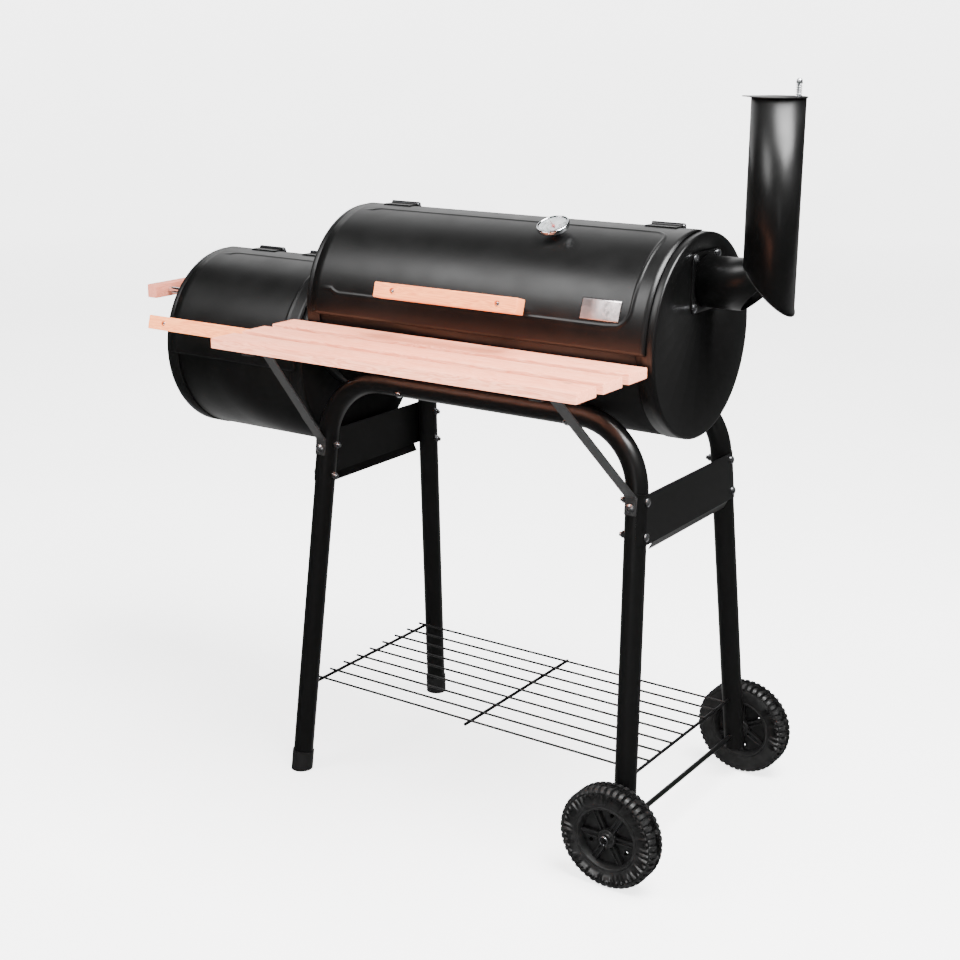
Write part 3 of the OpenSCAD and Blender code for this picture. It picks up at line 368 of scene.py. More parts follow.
def pine(name, pale, rosy, grain, along, seed):
    """Pale pine along one axis: growth rings that meet the surface as streaks, pores and small knots."""

    def drawn_out(along_scale, across_scale):
        """Coordinates with one scale along the grain and one across it."""
        return wood.stretched([along_scale if axis == along else across_scale for axis in "XYZ"])

    wood = Finish(name, pale, 0.55, specular=0.35)
    shift = wood.nodes.new("ShaderNodeVectorMath")
    shift.operation = "ADD"
    shift.inputs[1].default_value = (seed, seed * 0.7, seed * 1.3)
    wood.links.new(wood.where, shift.inputs[0])
    wood.where = shift.outputs[0]
    ring_width = 0.045
    rings = wood.maths("PINGPONG", wood.noise(6.0, 3.0, drawn_out(1.0, 14.0), 1.2), ring_width)
    streaks = wood.maths("MULTIPLY", rings, 22.0)
    pores = wood.noise(1.0, 4.0, drawn_out(12.0, 420.0))
    broad = wood.ramp(wood.noise(1.6, 2.0, drawn_out(1.0, 14.0)), [(0.3, pale), (0.72, rosy)])
    streaked = wood.mix(wood.ramp(streaks, [(0.15, 0.0), (0.95, 0.75)]), broad, grain)
    dusted = wood.mix(wood.ramp(pores, [(0.55, 0.0), (0.75, 0.35)]), streaked, grain)
    spots = wood.nodes.new("ShaderNodeTexVoronoi")
    spots.inputs["Scale"].default_value = 7.5
    wood.links.new(drawn_out(0.75, 1.6), spots.inputs["Vector"])
    knot = wood.ramp(spots.outputs["Distance"], [(0.03, 1.0), (0.07, 0.0)])
    wood.use("Base Color", wood.mix(knot, dusted, KNOT_BROWN))
    wood.use("Roughness", wood.ramp(pores, [(0.3, 0.48), (0.7, 0.6)]))
    wood.bump(pores, 0.05 * MM)
    return wood.material


def bright_metal(name, base, rough, streak=0.0):
    """Plated steel with faint smears in its gloss."""
    plate = Finish(name, base, rough, metal=1.0)
    plate.use("Roughness", plate.ramp(plate.noise(180.0, 3.0), [(0.3, rough * 0.8), (0.7, rough * 1.3)]))
    if streak:
        lines = plate.noise(1.0, 2.0, plate.stretched((40.0, 2500.0, 2500.0)))
        plate.bump(lines, streak)
    return plate.material


def tyre_plastic():
    """Moulded black plastic, a little scuffed."""
    tyre = Finish("wheel_plastic", (0.006, 0.006, 0.006), 0.45, specular=0.35)
    tyre.use("Roughness", tyre.ramp(tyre.noise(90.0, 4.0), [(0.3, 0.42), (0.7, 0.55)]))
    tyre.use("Base Color", tyre.ramp(tyre.noise(140.0, 5.0), [(0.35, 0.004), (0.8, 0.009)]))
    tyre.bump(tyre.noise(400.0, 1.0), 0.01 * MM)
    return tyre.material


def plain(name, base, rough, specular=0.5):
    """A small moulded or printed part with a fine surface grain."""
    part = Finish(name, base, rough, specular=specular)
    part.use("Roughness", part.ramp(part.noise(300.0, 2.0), [(0.3, rough - 0.04), (0.7, rough + 0.05)]))
    part.bump(part.noise(1200.0, 2.0), 0.008 * MM)
    return part.material


def lens_glass():
    """Clear glass, not quite flat."""
    glass = Finish("dial_glass", (0.95, 0.97, 0.97), 0.03)
    glass.shader.inputs["Transmission Weight"].default_value = 1.0
    glass.shader.inputs["IOR"].default_value = 1.45
    glass.bump(glass.noise(40.0, 1.0), 0.002 * MM)
    return glass.material


PAINT = black_paint()
COAT = powder_coat()
STRAP = strap_coat()
GRATE = grate_wire()
PLANK_WOOD = [pine("shelf_pine_%d" % i, (0.97, 0.43, 0.27), (0.94, 0.34, 0.20), (0.70, 0.17, 0.08), "X",
                   seed=1.7 * i + 0.4)
              for i in range(3)]
GRIP_WOOD = pine("grip_pine", (0.97, 0.35, 0.12), (0.95, 0.30, 0.10), (0.72, 0.16, 0.05), "X", 7.3)
CARRY_WOOD = pine("carry_pine", (0.60, 0.22, 0.15), (0.55, 0.18, 0.12), (0.42, 0.11, 0.06), "Y", 3.1)
ZINC = bright_metal("zinc_plate", (0.62, 0.63, 0.65), 0.28)
CHROME = bright_metal("chrome_plate", (0.75, 0.76, 0.78), 0.12)
BRUSHED = bright_metal("brushed_plate", (0.62, 0.56, 0.56), 0.5, streak=0.001 * MM)
WHEEL = tyre_plastic()
DIAL = plain("dial_white", (0.75, 0.75, 0.76), 0.4)
DIAL_INK = plain("dial_ink", (0.03, 0.03, 0.03), 0.5)
NEEDLE = plain("needle_red", (0.55, 0.03, 0.02), 0.35)
PLASTIC = plain("black_plastic", (0.004, 0.004, 0.004), 0.45, specular=0.35)
GLASS = lens_glass()

FINISH_OF_SLOT = {
    "black_paint": PAINT, "black_powder_coat": COAT, "dark_strap": STRAP, "grate_steel": GRATE,
    "pale_wood": PLANK_WOOD[0], "zinc": ZINC, "chrome": CHROME, "brushed_plate": BRUSHED,
    "dial_white": DIAL, "needle_red": NEEDLE, "glass": GLASS, "black_plastic": PLASTIC,
    "wheel_black": WHEEL,
}
for part in CAD.values():
    for holder in part.material_slots:
        holder.material = FINISH_OF_SLOT[holder.material.name.split(".")[0]]


# ---- barrels ----


def barrel_sheet(barrel, radius, a0, a1, x0, x1, steps):
    """Rolled sheet between two angles, as a single skin that faces out."""
    bm = bmesh.new()
    start = barrel.place(0, a0, radius).translation
    ends = [bm.verts.new((x, start.y, start.z)) for x in (x0, x1)]
    seam = bm.edges.new(ends)
    bmesh.ops.spin(bm, geom=ends + [seam], cent=(0, barrel.y, barrel.z), axis=(-1, 0, 0), dvec=(0, 0, 0),
                   angle=math.radians(a1 - a0), steps=steps)
    face_out(bm, barrel)
    return bm


def face_out(bm, barrel):
    """Turns every face of a skin away from the barrel's axis."""
    bmesh.ops.remove_doubles(bm, verts=bm.verts, dist=SAME_SPOT)
    bmesh.ops.recalc_face_normals(bm, faces=bm.faces)
    bm.faces.ensure_lookup_table()
    spot = bm.faces[0].calc_center_median()
    if bm.faces[0].normal.dot(spot - Vector((spot.x, barrel.y, barrel.z))) < 0:
        bmesh.ops.reverse_faces(bm, faces=bm.faces)


def make_shell(name, barrel, node):
    """The barrel's sheet from its top, round the rear and the bottom, to its front edge."""
    top, front = 90, 363
    bm = barrel_sheet(barrel, barrel.cap_r - SHEET, top, front, barrel.x0 + SHEET, barrel.x1 - SHEET, 140)
    new_piece(name, bm, ROOT, PAINT, [node], wall=SHEET, outward=False)


make_shell("main_barrel_sheet", MAIN, "main_shell")
make_shell("firebox_sheet", FIREBOX, "firebox_shell")


def make_cap(name, barrel, side, node, holes=()):
    """A pressed end cap: a flat disc with round openings and a round fold into its flange."""
    fold = 3.5 * MM
    flat_r = barrel.cap_r - fold - 2 * MM
    bm = bmesh.new()
    add_rings(bm, [arc(0, 0, flat_r, 0, 357.5, 143)] + [arc(x, y, r, 0, 352.5, 47) for x, y, r in holes])
    profile = [(flat_r, 0)] + arc(barrel.cap_r - fold, -fold, fold, 90, 0) + [(barrel.cap_r, -barrel.flange)]
    add_mesh(bm, lathe(profile, 144), Matrix.Identity(4))
    bmesh.ops.remove_doubles(bm, verts=bm.verts, dist=0.01 * MM)
    bmesh.ops.recalc_face_normals(bm, faces=bm.faces)
    middle = max(bm.faces, key=lambda f: f.calc_area())
    if middle.normal.z < 0:
        bmesh.ops.reverse_faces(bm, faces=bm.faces)
    new_piece(name, moved(bm, barrel.end(side)), ROOT, PAINT, [node], wall=SHEET, outward=False)


elbow_low, elbow_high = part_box("chimney_elbow")
PIPE_R = (elbow_high.y - elbow_low.y) / 2
ELBOW_Z = (elbow_low.z + elbow_high.z) / 2 - MAIN.z
collar_low, collar_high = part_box("heat_collar")
COLLAR_R = (collar_high.y - collar_low.y) / 2
HEAT_R = COLLAR_R - 12 * MM
HEAT_Z = (collar_low.z + collar_high.z) / 2
vent_low, vent_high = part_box("air_vent")
VENT_Z = vent_low.z + (vent_high.y - vent_low.y) / 2
VENT_CIRCLE_R, VENT_HOLE_R = 26 * MM, 11 * MM
VENT_HOLES = arc(0, VENT_Z - FIREBOX.z, VENT_CIRCLE_R, 45, 315, 3)

make_cap("main_end_left", MAIN, -1, "main_cap_left", [(0, HEAT_Z - MAIN.z, HEAT_R)])
make_cap("main_end_right", MAIN, 1, "main_cap_right", [(0, ELBOW_Z, PIPE_R - SHEET)])
make_cap("firebox_end_left", FIREBOX, -1, "firebox_cap_left", [(x, y, VENT_HOLE_R) for x, y in VENT_HOLES])
make_cap("firebox_end_right", FIREBOX, 1, "firebox_cap_right", [(0, HEAT_Z - FIREBOX.z, HEAT_R)])


# ---- lids ----

BEAD_INSET = 28 * MM
BEAD_HALF_W = 3.4 * MM
BEAD_RISE = 1.1 * MM
BEAD_CORNER = 26 * MM
BEAD_ANGLES = (11.4, 78)
BEAD_STEP = 1.3 * MM
LID_ANGLES = (-2, 93)


def stations(low, high, marks, reach, fine, coarse):
    """Places from low to high, close together within reach of each mark and wider apart elsewhere."""
    places = [low]
    while places[-1] < high:
        near = any(abs(places[-1] - mark) < reach for mark in marks)
        step = fine if near else coarse
        to_mark = [mark - reach - places[-1] for mark in marks if mark - reach > places[-1] + 1e-9]
        places.append(min([places[-1] + step, high] + [places[-1] + gap for gap in to_mark]))
    return places


def make_lid(name, barrel, body, node):
    """Lid sheet with a round-cornered bead pressed outwards all the way round."""
    half, r = barrel.lid_half, barrel.lid_r
    degree = math.radians(r)
    arc_mid = sum(BEAD_ANGLES) / 2
    bead_x, bead_arc = half - BEAD_INSET, (BEAD_ANGLES[1] - BEAD_ANGLES[0]) / 2 * degree
    inner = BEAD_CORNER / 2
    reach = inner + 5 * MM
    along = stations(-half, half, [-bead_x + inner, bead_x - inner], reach, BEAD_STEP, 14 * MM)
    around = stations(LID_ANGLES[0] * degree, LID_ANGLES[1] * degree,
                      [BEAD_ANGLES[0] * degree + inner, BEAD_ANGLES[1] * degree - inner],
                      reach, BEAD_STEP, 5 * MM)
    bm = bmesh.new()
    bmesh.ops.create_grid(bm, x_segments=len(along) - 1, y_segments=len(around) - 1, size=0.5)
    for v in bm.verts:
        x = along[round((v.co.x + 0.5) * (len(along) - 1))]
        s = around[round((v.co.y + 0.5) * (len(around) - 1))]
        qx = abs(x) - bead_x + BEAD_CORNER
        qy = abs(s - arc_mid * degree) - bead_arc + BEAD_CORNER
        off = math.hypot(max(qx, 0), max(qy, 0)) + min(max(qx, qy), 0) - BEAD_CORNER
        rise = BEAD_RISE * max(0.0, 1 - (off / BEAD_HALF_W) ** 2) ** 2
        v.co = barrel.place(barrel.mid + x, s / degree, r + rise).translation
    face_out(bm, barrel)
    new_piece(name, bm, body, PAINT, [node], crease=60, wall=SHEET, outward=False)


make_lid("main_lid_sheet", MAIN, "main_lid", "main_lid")
make_lid("firebox_lid_sheet", FIREBOX, "firebox_lid", "firebox_lid")


# ---- wooden grips and planks ----

carry_low, carry_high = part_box("carry_handle")
GRIP_DEPTH, GRIP_LEN, GRIP_H = carry_high - carry_low
GRIP_GAP = FIREBOX.x0 - carry_high.x
SLEEVE_R = 5 * MM
SCREW_R = 2 * MM
sleeves_low, sleeves_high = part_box("carry_handle_bolts")
GRIP_PITCH = sleeves_high.y - sleeves_low.y - 2 * SLEEVE_R
GRIP_SCREWS = [(-GRIP_PITCH / 2, 0), (GRIP_PITCH / 2, 0)]
COUNTERBORE = 4 * MM
handle_low, handle_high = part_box("main_handle")
grip_angle = math.degrees(math.asin((handle_low.z + handle_high.z - 2 * MAIN.z) / 2
                                    / (MAIN.lid_r + GRIP_GAP + GRIP_DEPTH / 2)))


def hex_nut(r, h):
    """A hexagon nut with its corners turned down, standing on z = 0."""
    bm = flat_plate(arc(0, 0, r, 0, 300, 5), h)
    soften(bm, [e for e in bm.edges if is_level(e)], 0.1 * r)
    return bm


def socket_head(r, h):
    """A domed screw head with a round socket, standing on z = 0."""
    dome = [(x, y * h / r) for x, y in arc(0, 0, r, 0, 62)]
    rim_r, socket_r, socket_z = 0.42 * r, 0.36 * r, 0.35 * h
    return lathe([(0, 0), (r, 0)] + dome + [(rim_r, dome[-1][1]), (socket_r, socket_z), (0, socket_z)], 24)


def grip_fittings():
    """A sleeve, its screw head in the grip and the nut behind the sheet, all on local Z."""
    cut, nut_h, end_len = 0.4 * MM, 3 * MM, 6 * MM
    bm = lathe([(SCREW_R, 0), (SLEEVE_R - cut, 0), (SLEEVE_R, cut), (SLEEVE_R, GRIP_GAP - cut),
                (SLEEVE_R - cut, GRIP_GAP), (SCREW_R, GRIP_GAP)], 40)
    add_mesh(bm, socket_head(3.9 * MM, 2.4 * MM), shifted(0, 0, GRIP_GAP + GRIP_DEPTH - COUNTERBORE))
    add_mesh(bm, hex_nut(4 * MM, nut_h), shifted(0, 0, -SHEET - nut_h))
    add_mesh(bm, lathe([(0, 0), (SCREW_R - cut, 0), (SCREW_R, cut), (SCREW_R, 8 * MM), (0, 8 * MM)], 20),
             shifted(0, 0, -SHEET - end_len))
    return bm


def make_grip(name, seat, body, wood):
    """A square wooden grip on two sleeves. The seat's local X runs along the grip."""
    bar = round_box((GRIP_LEN, GRIP_H, GRIP_DEPTH), 1.6 * MM)
    drill(bar, GRIP_SCREWS, 4.3 * MM, COUNTERBORE)
    moved(bar, seat @ shifted(0, 0, GRIP_GAP + GRIP_DEPTH / 2))
    new_piece(name + "_grip", bar, body, wood, [name])
    fittings = many(grip_fittings, [seat @ shifted(x, y, 0) for x, y in GRIP_SCREWS])
    new_piece(name + "_sleeves", fittings, body, CHROME, [name + "_bolts"])


make_grip("main_handle", MAIN.place(MAIN.mid, grip_angle, MAIN.lid_r), "main_lid", GRIP_WOOD)
make_grip("firebox_handle", FIREBOX.place(FIREBOX.mid, grip_angle, FIREBOX.lid_r), "firebox_lid", GRIP_WOOD)
make_grip("carry_handle", shifted(FIREBOX.x0, (carry_low.y + carry_high.y) / 2, (carry_low.z + carry_high.z) / 2)
          @ turned(-90, "Y") @ turned(90, "Z"), ROOT, CARRY_WOOD)

for number, node in enumerate(("plank_rear", "plank_middle", "plank_front")):
    low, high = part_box(node)
    board = moved(round_box(high - low, 1.5 * MM), shifted(*((low + high) / 2)))
    new_piece(node + "_board", board, ROOT, PLANK_WOOD[number], [node])


# ---- thermometer and name plate ----

sweep = joint("thermometer_sweep")
thermo_angle = math.degrees(math.atan2(-sweep["axis"][2], sweep["axis"][1]))
THERMO = MAIN.place(sweep["pos_m"][0], thermo_angle, MAIN.lid_r)
CASE_R = 24 * MM
CASE_SEAT, CASE_H = 8 * MM, 8 * MM
CASE_TOP = CASE_SEAT + CASE_H
DIAL_R = CASE_R - 3 * MM
DIAL_Z = CASE_SEAT + 2.8 * MM
DIAL_SWEEP = 270
NEEDLE_Z = DIAL_Z + 0.3 * MM


def make_case():
    """Pressed case with a rolled bezel, its stem in the barrel and the nut under the lid."""
    neck_r, neck_low, bezel_r = 7 * MM, -4 * MM, 1.6 * MM
    stem_r, stem_low, stem_top = 3.5 * MM, -60 * MM, -3 * MM
    case = lathe([(0, neck_low), (neck_r, neck_low), (neck_r, CASE_SEAT)]
                 + arc(CASE_R - 4 * MM, CASE_SEAT + 3 * MM, 3 * MM, -90, 0)
                 + [(CASE_R - 1 * MM, CASE_TOP - 4 * MM), (CASE_R - 0.2 * MM, CASE_TOP - 3.4 * MM)]
                 + arc(CASE_R - bezel_r, CASE_TOP - bezel_r, bezel_r, 0, 180, 12)
                 + [(DIAL_R, DIAL_Z - 0.8 * MM), (0, DIAL_Z - 0.8 * MM)], 96)
    stem = [(0, stem_low), (stem_r - 0.5 * MM, stem_low), (stem_r, stem_low + 2 * MM), (stem_r, stem_top),
            (0, stem_top)]
    add_mesh(case, lathe(stem, 24), Matrix.Identity(4))
    add_mesh(case, hex_nut(neck_r, 5 * MM), shifted(0, 0, -SHEET - 6 * MM))
    return case


def make_dial():
    """The dial's disc, with a rim that is turned up against the case."""
    rim_r, under = DIAL_R - 0.1 * MM, DIAL_Z - 0.7 * MM
    return lathe([(0, DIAL_Z), (DIAL_R - 2.4 * MM, DIAL_Z), (DIAL_R - 2 * MM, DIAL_Z + 0.5 * MM),
                  (rim_r, DIAL_Z + 1.2 * MM), (rim_r, under), (0, under)], 96)


def make_scale():
    """Long and short marks round the dial, and a thin ring inside them."""
    step, marks_r, foot = 10, DIAL_R - 4.9 * MM, DIAL_Z - 0.05 * MM
    ring_in, ring_out, ring_top = 9.2 * MM, 9.8 * MM, DIAL_Z + 0.1 * MM
    marks = bmesh.new()
    for i in range(DIAL_SWEEP // step + 1):
        length, width = (3.4 * MM, 0.8 * MM) if i % 3 == 0 else (1.8 * MM, 0.4 * MM)
        add_mesh(marks, round_box((length, width, 0.12 * MM), 0.04 * MM, 1),
                 turned(-225 + i * step, "Z") @ shifted(marks_r, 0, DIAL_Z + 0.05 * MM))
    ring = [(ring_in, foot), (ring_in, ring_top), (ring_out, ring_top), (ring_out, foot)]
    add_mesh(marks, lathe(ring, 60, sweep=DIAL_SWEEP), turned(135, "Z"))
    return marks


def make_needle():
    """A tapered pointer with a round boss."""
    tip, tail, tip_half, tail_half = 14.5 * MM, 5 * MM, 0.2 * MM, 0.9 * MM
    needle = moved(flat_plate([(-tail, -tail_half), (tip, -tip_half), (tip, tip_half), (-tail, tail_half)],
                              0.5 * MM), shifted(0, 0, NEEDLE_Z))
    boss = [(0, 0), (2.4 * MM, 0)] + arc(1.6 * MM, 0.6 * MM, 0.8 * MM, 0, 90, 4) + [(0, 1.4 * MM)]
    add_mesh(needle, lathe(boss, 24), shifted(0, 0, NEEDLE_Z))
    return needle


def make_lens():
    """A shallow domed lens under the bezel."""
    foot, edge, dome = CASE_TOP - 2.2 * MM, 0.9 * MM, 0.9 * MM
    rim_r = DIAL_R - 0.2 * MM
    crown = [(DIAL_R * x, foot + edge + dome * y) for x, y in arc(0, 0, 1, 15, 75, 4)]
    return lathe([(0, foot), (rim_r, foot), (rim_r, foot + edge)] + crown + [(0, foot + edge + dome)], 96)


for name, bm, body, slot, finish, nodes in (
        ("thermometer_bezel", make_case(), "main_lid", "zinc", CHROME, ["thermometer_case"]),
        ("thermometer_face", make_dial(), "main_lid", "dial_white", DIAL, ["thermometer_dial"]),
        ("thermometer_marks", make_scale(), "main_lid", "black_plastic", DIAL_INK, []),
        ("thermometer_pointer", moved(make_needle(), turned(135, "Z")), "needle", "needle_red", NEEDLE,
         ["thermometer_needle"]),
        ("thermometer_lens", make_lens(), "main_lid", "glass", GLASS, ["thermometer_glass"])):
    new_piece(name, moved(bm, THERMO), body, finish, nodes)

plate_low, plate_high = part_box("name_plate")
plate_centre = (plate_low + plate_high) / 2
plate_angle = math.degrees(math.atan2(plate_centre.z - MAIN.z, MAIN.y - plate_centre.y))
PLATE_H = 31 * MM


def plate_sheet(margin, rise):
    """A curved rectangle on the lid, larger or smaller than the plate by a margin."""
    spread = math.degrees((PLATE_H / 2 + margin) / MAIN.lid_r)
    return barrel_sheet(MAIN, MAIN.lid_r + rise, plate_angle - spread, plate_angle + spread,
                        plate_low.x - margin, plate_high.x + margin, 16)


# The black sheet shows 1.4 mm beyond the bright blank all round. This border is a painted shadow: it draws the plate's
# dark edge and the shade round it in black.
new_piece("name_plate_shadow_border", plate_sheet(0.0, 0.4 * MM), "main_lid", PLASTIC, ["name_plate"],
          wall=0.6 * MM, outward=False)
new_piece("name_plate_blank", plate_sheet(-1.4 * MM, 0.8 * MM), "main_lid", BRUSHED,
          wall=0.7 * MM, outward=False)


# ---- chimney ----

cap_low, cap_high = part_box("chimney_cap")
pipe_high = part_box("chimney_pipe")[1]
CHIMNEY_X = pipe_high.x - PIPE_R
CHIMNEY_Z = MAIN.z + ELBOW_Z
SEAT = shifted(CHIMNEY_X, MAIN.y, CHIMNEY_Z)


def mitred_pipe(length):
    """A pipe up local Z whose first end is cut at 45 degrees through the origin and falls along X."""
    bm = bmesh.new()
    bmesh.ops.create_circle(bm, segments=96, radius=PIPE_R)
    drawn = bmesh.ops.extrude_edge_only(bm, edges=bm.edges[:])["geom"]
    far_end = only_verts(drawn)
    bmesh.ops.translate(bm, vec=(0, 0, length), verts=far_end)
    for v in set(bm.verts) - set(far_end):
        v.co.z = -v.co.x
    bmesh.ops.recalc_face_normals(bm, faces=bm.faces)
    side = next(iter(bm.faces))
    if side.normal.dot(side.calc_center_median().to_2d().to_3d()) < 0:
        bmesh.ops.reverse_faces(bm, faces=bm.faces)
    return bm


def make_chimney():
    """Two mitred pipes with a rippled weld between them, the foot plate and the swinging cap."""
    stack = moved(mitred_pipe(pipe_high.z - CHIMNEY_Z), SEAT)
    new_piece("chimney_stack", stack, ROOT, PAINT, ["chimney_pipe"], wall=SHEET, outward=False)
    duct = moved(mitred_pipe(CHIMNEY_X - MAIN.x1), SEAT @ turned(-90, "Y"))
    new_piece("chimney_duct", duct, ROOT, PAINT, ["chimney_elbow"], wall=SHEET, outward=False)

    weld_r, ripples, ripple_share = 0.9 * MM, 90, 0.006
    weld = lathe(arc(PIPE_R, 0, weld_r, 0, 360, 8), 2 * ripples)
    for v in weld.verts:
        ripple = 1 + ripple_share * math.sin(ripples * math.atan2(v.co.y, v.co.x))
        v.co.x, v.co.y = v.co.x * ripple, v.co.y * ripple
    oval = Matrix.Diagonal((math.sqrt(2), 1, 1, 1))
    new_piece("chimney_weld", moved(weld, SEAT @ turned(45, "Y") @ oval), ROOT, PAINT)

    low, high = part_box("chimney_flange")
    side = high.y - low.y
    plate = flat_plate(rounded_outline(side, side, 8 * MM), high.x - low.x, [(0, 0, PIPE_R)], edge=0.4 * MM)
    moved(plate, shifted(low.x, MAIN.y, CHIMNEY_Z) @ turned(90, "Y"))
    new_piece("chimney_foot_plate", plate, ROOT, PAINT, ["chimney_flange"])

    cap_r = (cap_high.y - cap_low.y) / 2
    reach = CHIMNEY_X - cap_low.x
    tab_half = 1.6 * MM
    outline = arc(0, 0, cap_r, -160, 160, 90) + [(-reach, tab_half), (-reach, -tab_half)]
    lid = flat_plate(outline, cap_high.z - cap_low.z, edge=0.4 * MM)
    moved(lid, shifted(CHIMNEY_X, MAIN.y, cap_low.z))
    new_piece("chimney_cap_plate", lid, "chimney_cap", PAINT, ["chimney_cap"])


make_chimney()

DAMPER = shifted(joint("chimney_cap_swing")["pos_m"][0], MAIN.y, cap_high.z)
SPRING_R, SPRING_WIRE_R = 4.2 * MM, 0.7 * MM


def make_damper_bolt():
    """The pivot bolt, its washer, the spring that holds the cap down and the acorn nut on top."""
    bolt_low, bolt_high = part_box("damper_bolt")
    top, below = bolt_high.z - cap_high.z, cap_high.z - bolt_low.z
    bolt_r, cut, dome_r = 2.4 * MM, 0.4 * MM, 4 * MM
    bolt_end, nut_z = top - 6 * MM, top - 7 * MM
    washer_r, washer_low, washer = SPRING_R + 1 * MM, 0.35 * MM, 1.15 * MM
    bolt = lathe([(0, -below), (bolt_r - cut, -below), (bolt_r, cut - below), (bolt_r, bolt_end),
                  (0, bolt_end)], 24)
    add_mesh(bolt, hex_nut(4.5 * MM, 4 * MM), shifted(0, 0, pipe_high.z - cap_high.z - 6 * MM))
    ring = [(bolt_r, washer_low), (washer_r, washer_low), (washer_r, washer), (bolt_r, washer)]
    add_mesh(bolt, lathe(ring, 32), Matrix.Identity(4))
    add_mesh(bolt, hex_nut(4.6 * MM, 3.5 * MM), shifted(0, 0, nut_z))
    add_mesh(bolt, lathe([(dome_r, 0)] + arc(0, 0, dome_r, 0, 90, 10), 32), shifted(0, 0, top - dome_r))
    new_piece("damper_pivot", moved(bolt, DAMPER), ROOT, ZINC, ["damper_bolt"])

    turns, steps = 5, 24
    rise = nut_z - washer - 2 * SPRING_WIRE_R
    coil = bmesh.new()
    bmesh.ops.create_circle(coil, cap_ends=True, segments=12, radius=SPRING_WIRE_R)
    moved(coil, shifted(SPRING_R - SPRING_WIRE_R, 0, washer + SPRING_WIRE_R) @ turned(90, "X"))
    bmesh.ops.spin(coil, geom=coil.faces[:], cent=(0, 0, 0), axis=(0, 0, 1), dvec=(0, 0, rise / (turns * steps)),
                   angle=math.radians(360 * turns), steps=turns * steps)
    new_piece("damper_coil", moved(coil, DAMPER), ROOT, ZINC, ["damper_spring"], crease=60)


make_damper_bolt()


# ---- wheels ----

wheel_low, wheel_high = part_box("front_wheel")
WHEEL_R = (wheel_high.z - wheel_low.z) / 2
WHEEL_W = wheel_high.y - wheel_low.y
RIM_R, HUB_R = 0.58 * WHEEL_R, 0.18 * WHEEL_R
LUG_RISE, LUG_DEPTH = 2.2 * MM, 12 * MM
LUGS = 48
SIPE_DEPTH = 0.7 * MM
SPOKES = 6
WEB_H = 7 * MM
BORE_R = 4.1 * MM


def tyre_side(sign):
    """One side of the tyre's profile, from the web out to the tread."""
    half = WHEEL_W / 2
    points = [(RIM_R - 2 * MM, WEB_H / 2), (RIM_R - 1 * MM, half - 5 * MM)]
    points += arc(RIM_R + 2.4 * MM, half - 3.4 * MM, 2.4 * MM, 180, 60, 8)
    points += [(RIM_R + 4.6 * MM, half - 2.1 * MM), (RIM_R + 7 * MM, half - 0.7 * MM), (0.8 * WHEEL_R, half),
               (0.88 * WHEEL_R, half - 0.5 * MM), (0.9 * WHEEL_R, half - 1.4 * MM), (0.915 * WHEEL_R, half - 1.4 * MM),
               (0.93 * WHEEL_R, half - 0.9 * MM), (0.955 * WHEEL_R, half - 3.2 * MM),
               (WHEEL_R - LUG_RISE, half - 6.5 * MM), (WHEEL_R - LUG_RISE, half - LUG_DEPTH)]
    return [(r, sign * z) for r, z in points]


def make_tyre():
    """A moulded tyre with block lugs on both shoulders and sipes in the side walls."""
    outer, inner = tyre_side(1), tyre_side(-1)
    bm = lathe(inner + outer[::-1], 2 * LUGS)
    half = WHEEL_W / 2

    def column(face):
        """Which of the tyre's equal sectors a face lies in."""
        spot = face.calc_center_median()
        return int(math.degrees(math.atan2(spot.y, spot.x)) % 360 // (180 / LUGS))

    def radius(face):
        """A face's distance from the axle."""
        return face.calc_center_median().to_2d().length

    for sign in (1, -1):
        lugs = [f for f in bm.faces if sign * f.calc_center_median().z > half - LUG_DEPTH
                and radius(f) > 0.93 * WHEEL_R and column(f) % 2 == (sign > 0)]
        for v in only_verts(bmesh.ops.extrude_face_region(bm, geom=lugs)["geom"]):
            r = v.co.to_2d().length
            grown = (r + LUG_RISE * min(1.0, (r / WHEEL_R - 0.92) / 0.045)) / r
            v.co.x, v.co.y = v.co.x * grown, v.co.y * grown
        sipes = [f for f in bm.faces if sign * f.calc_center_median().z > half - 1 * MM
                 and 0.82 * WHEEL_R < radius(f) < 0.89 * WHEEL_R and column(f) % 2 == 0]
        sunk = bmesh.ops.extrude_face_region(bm, geom=sipes)["geom"]
        bmesh.ops.translate(bm, vec=(0, 0, -sign * SIPE_DEPTH), verts=only_verts(sunk))
    return bm


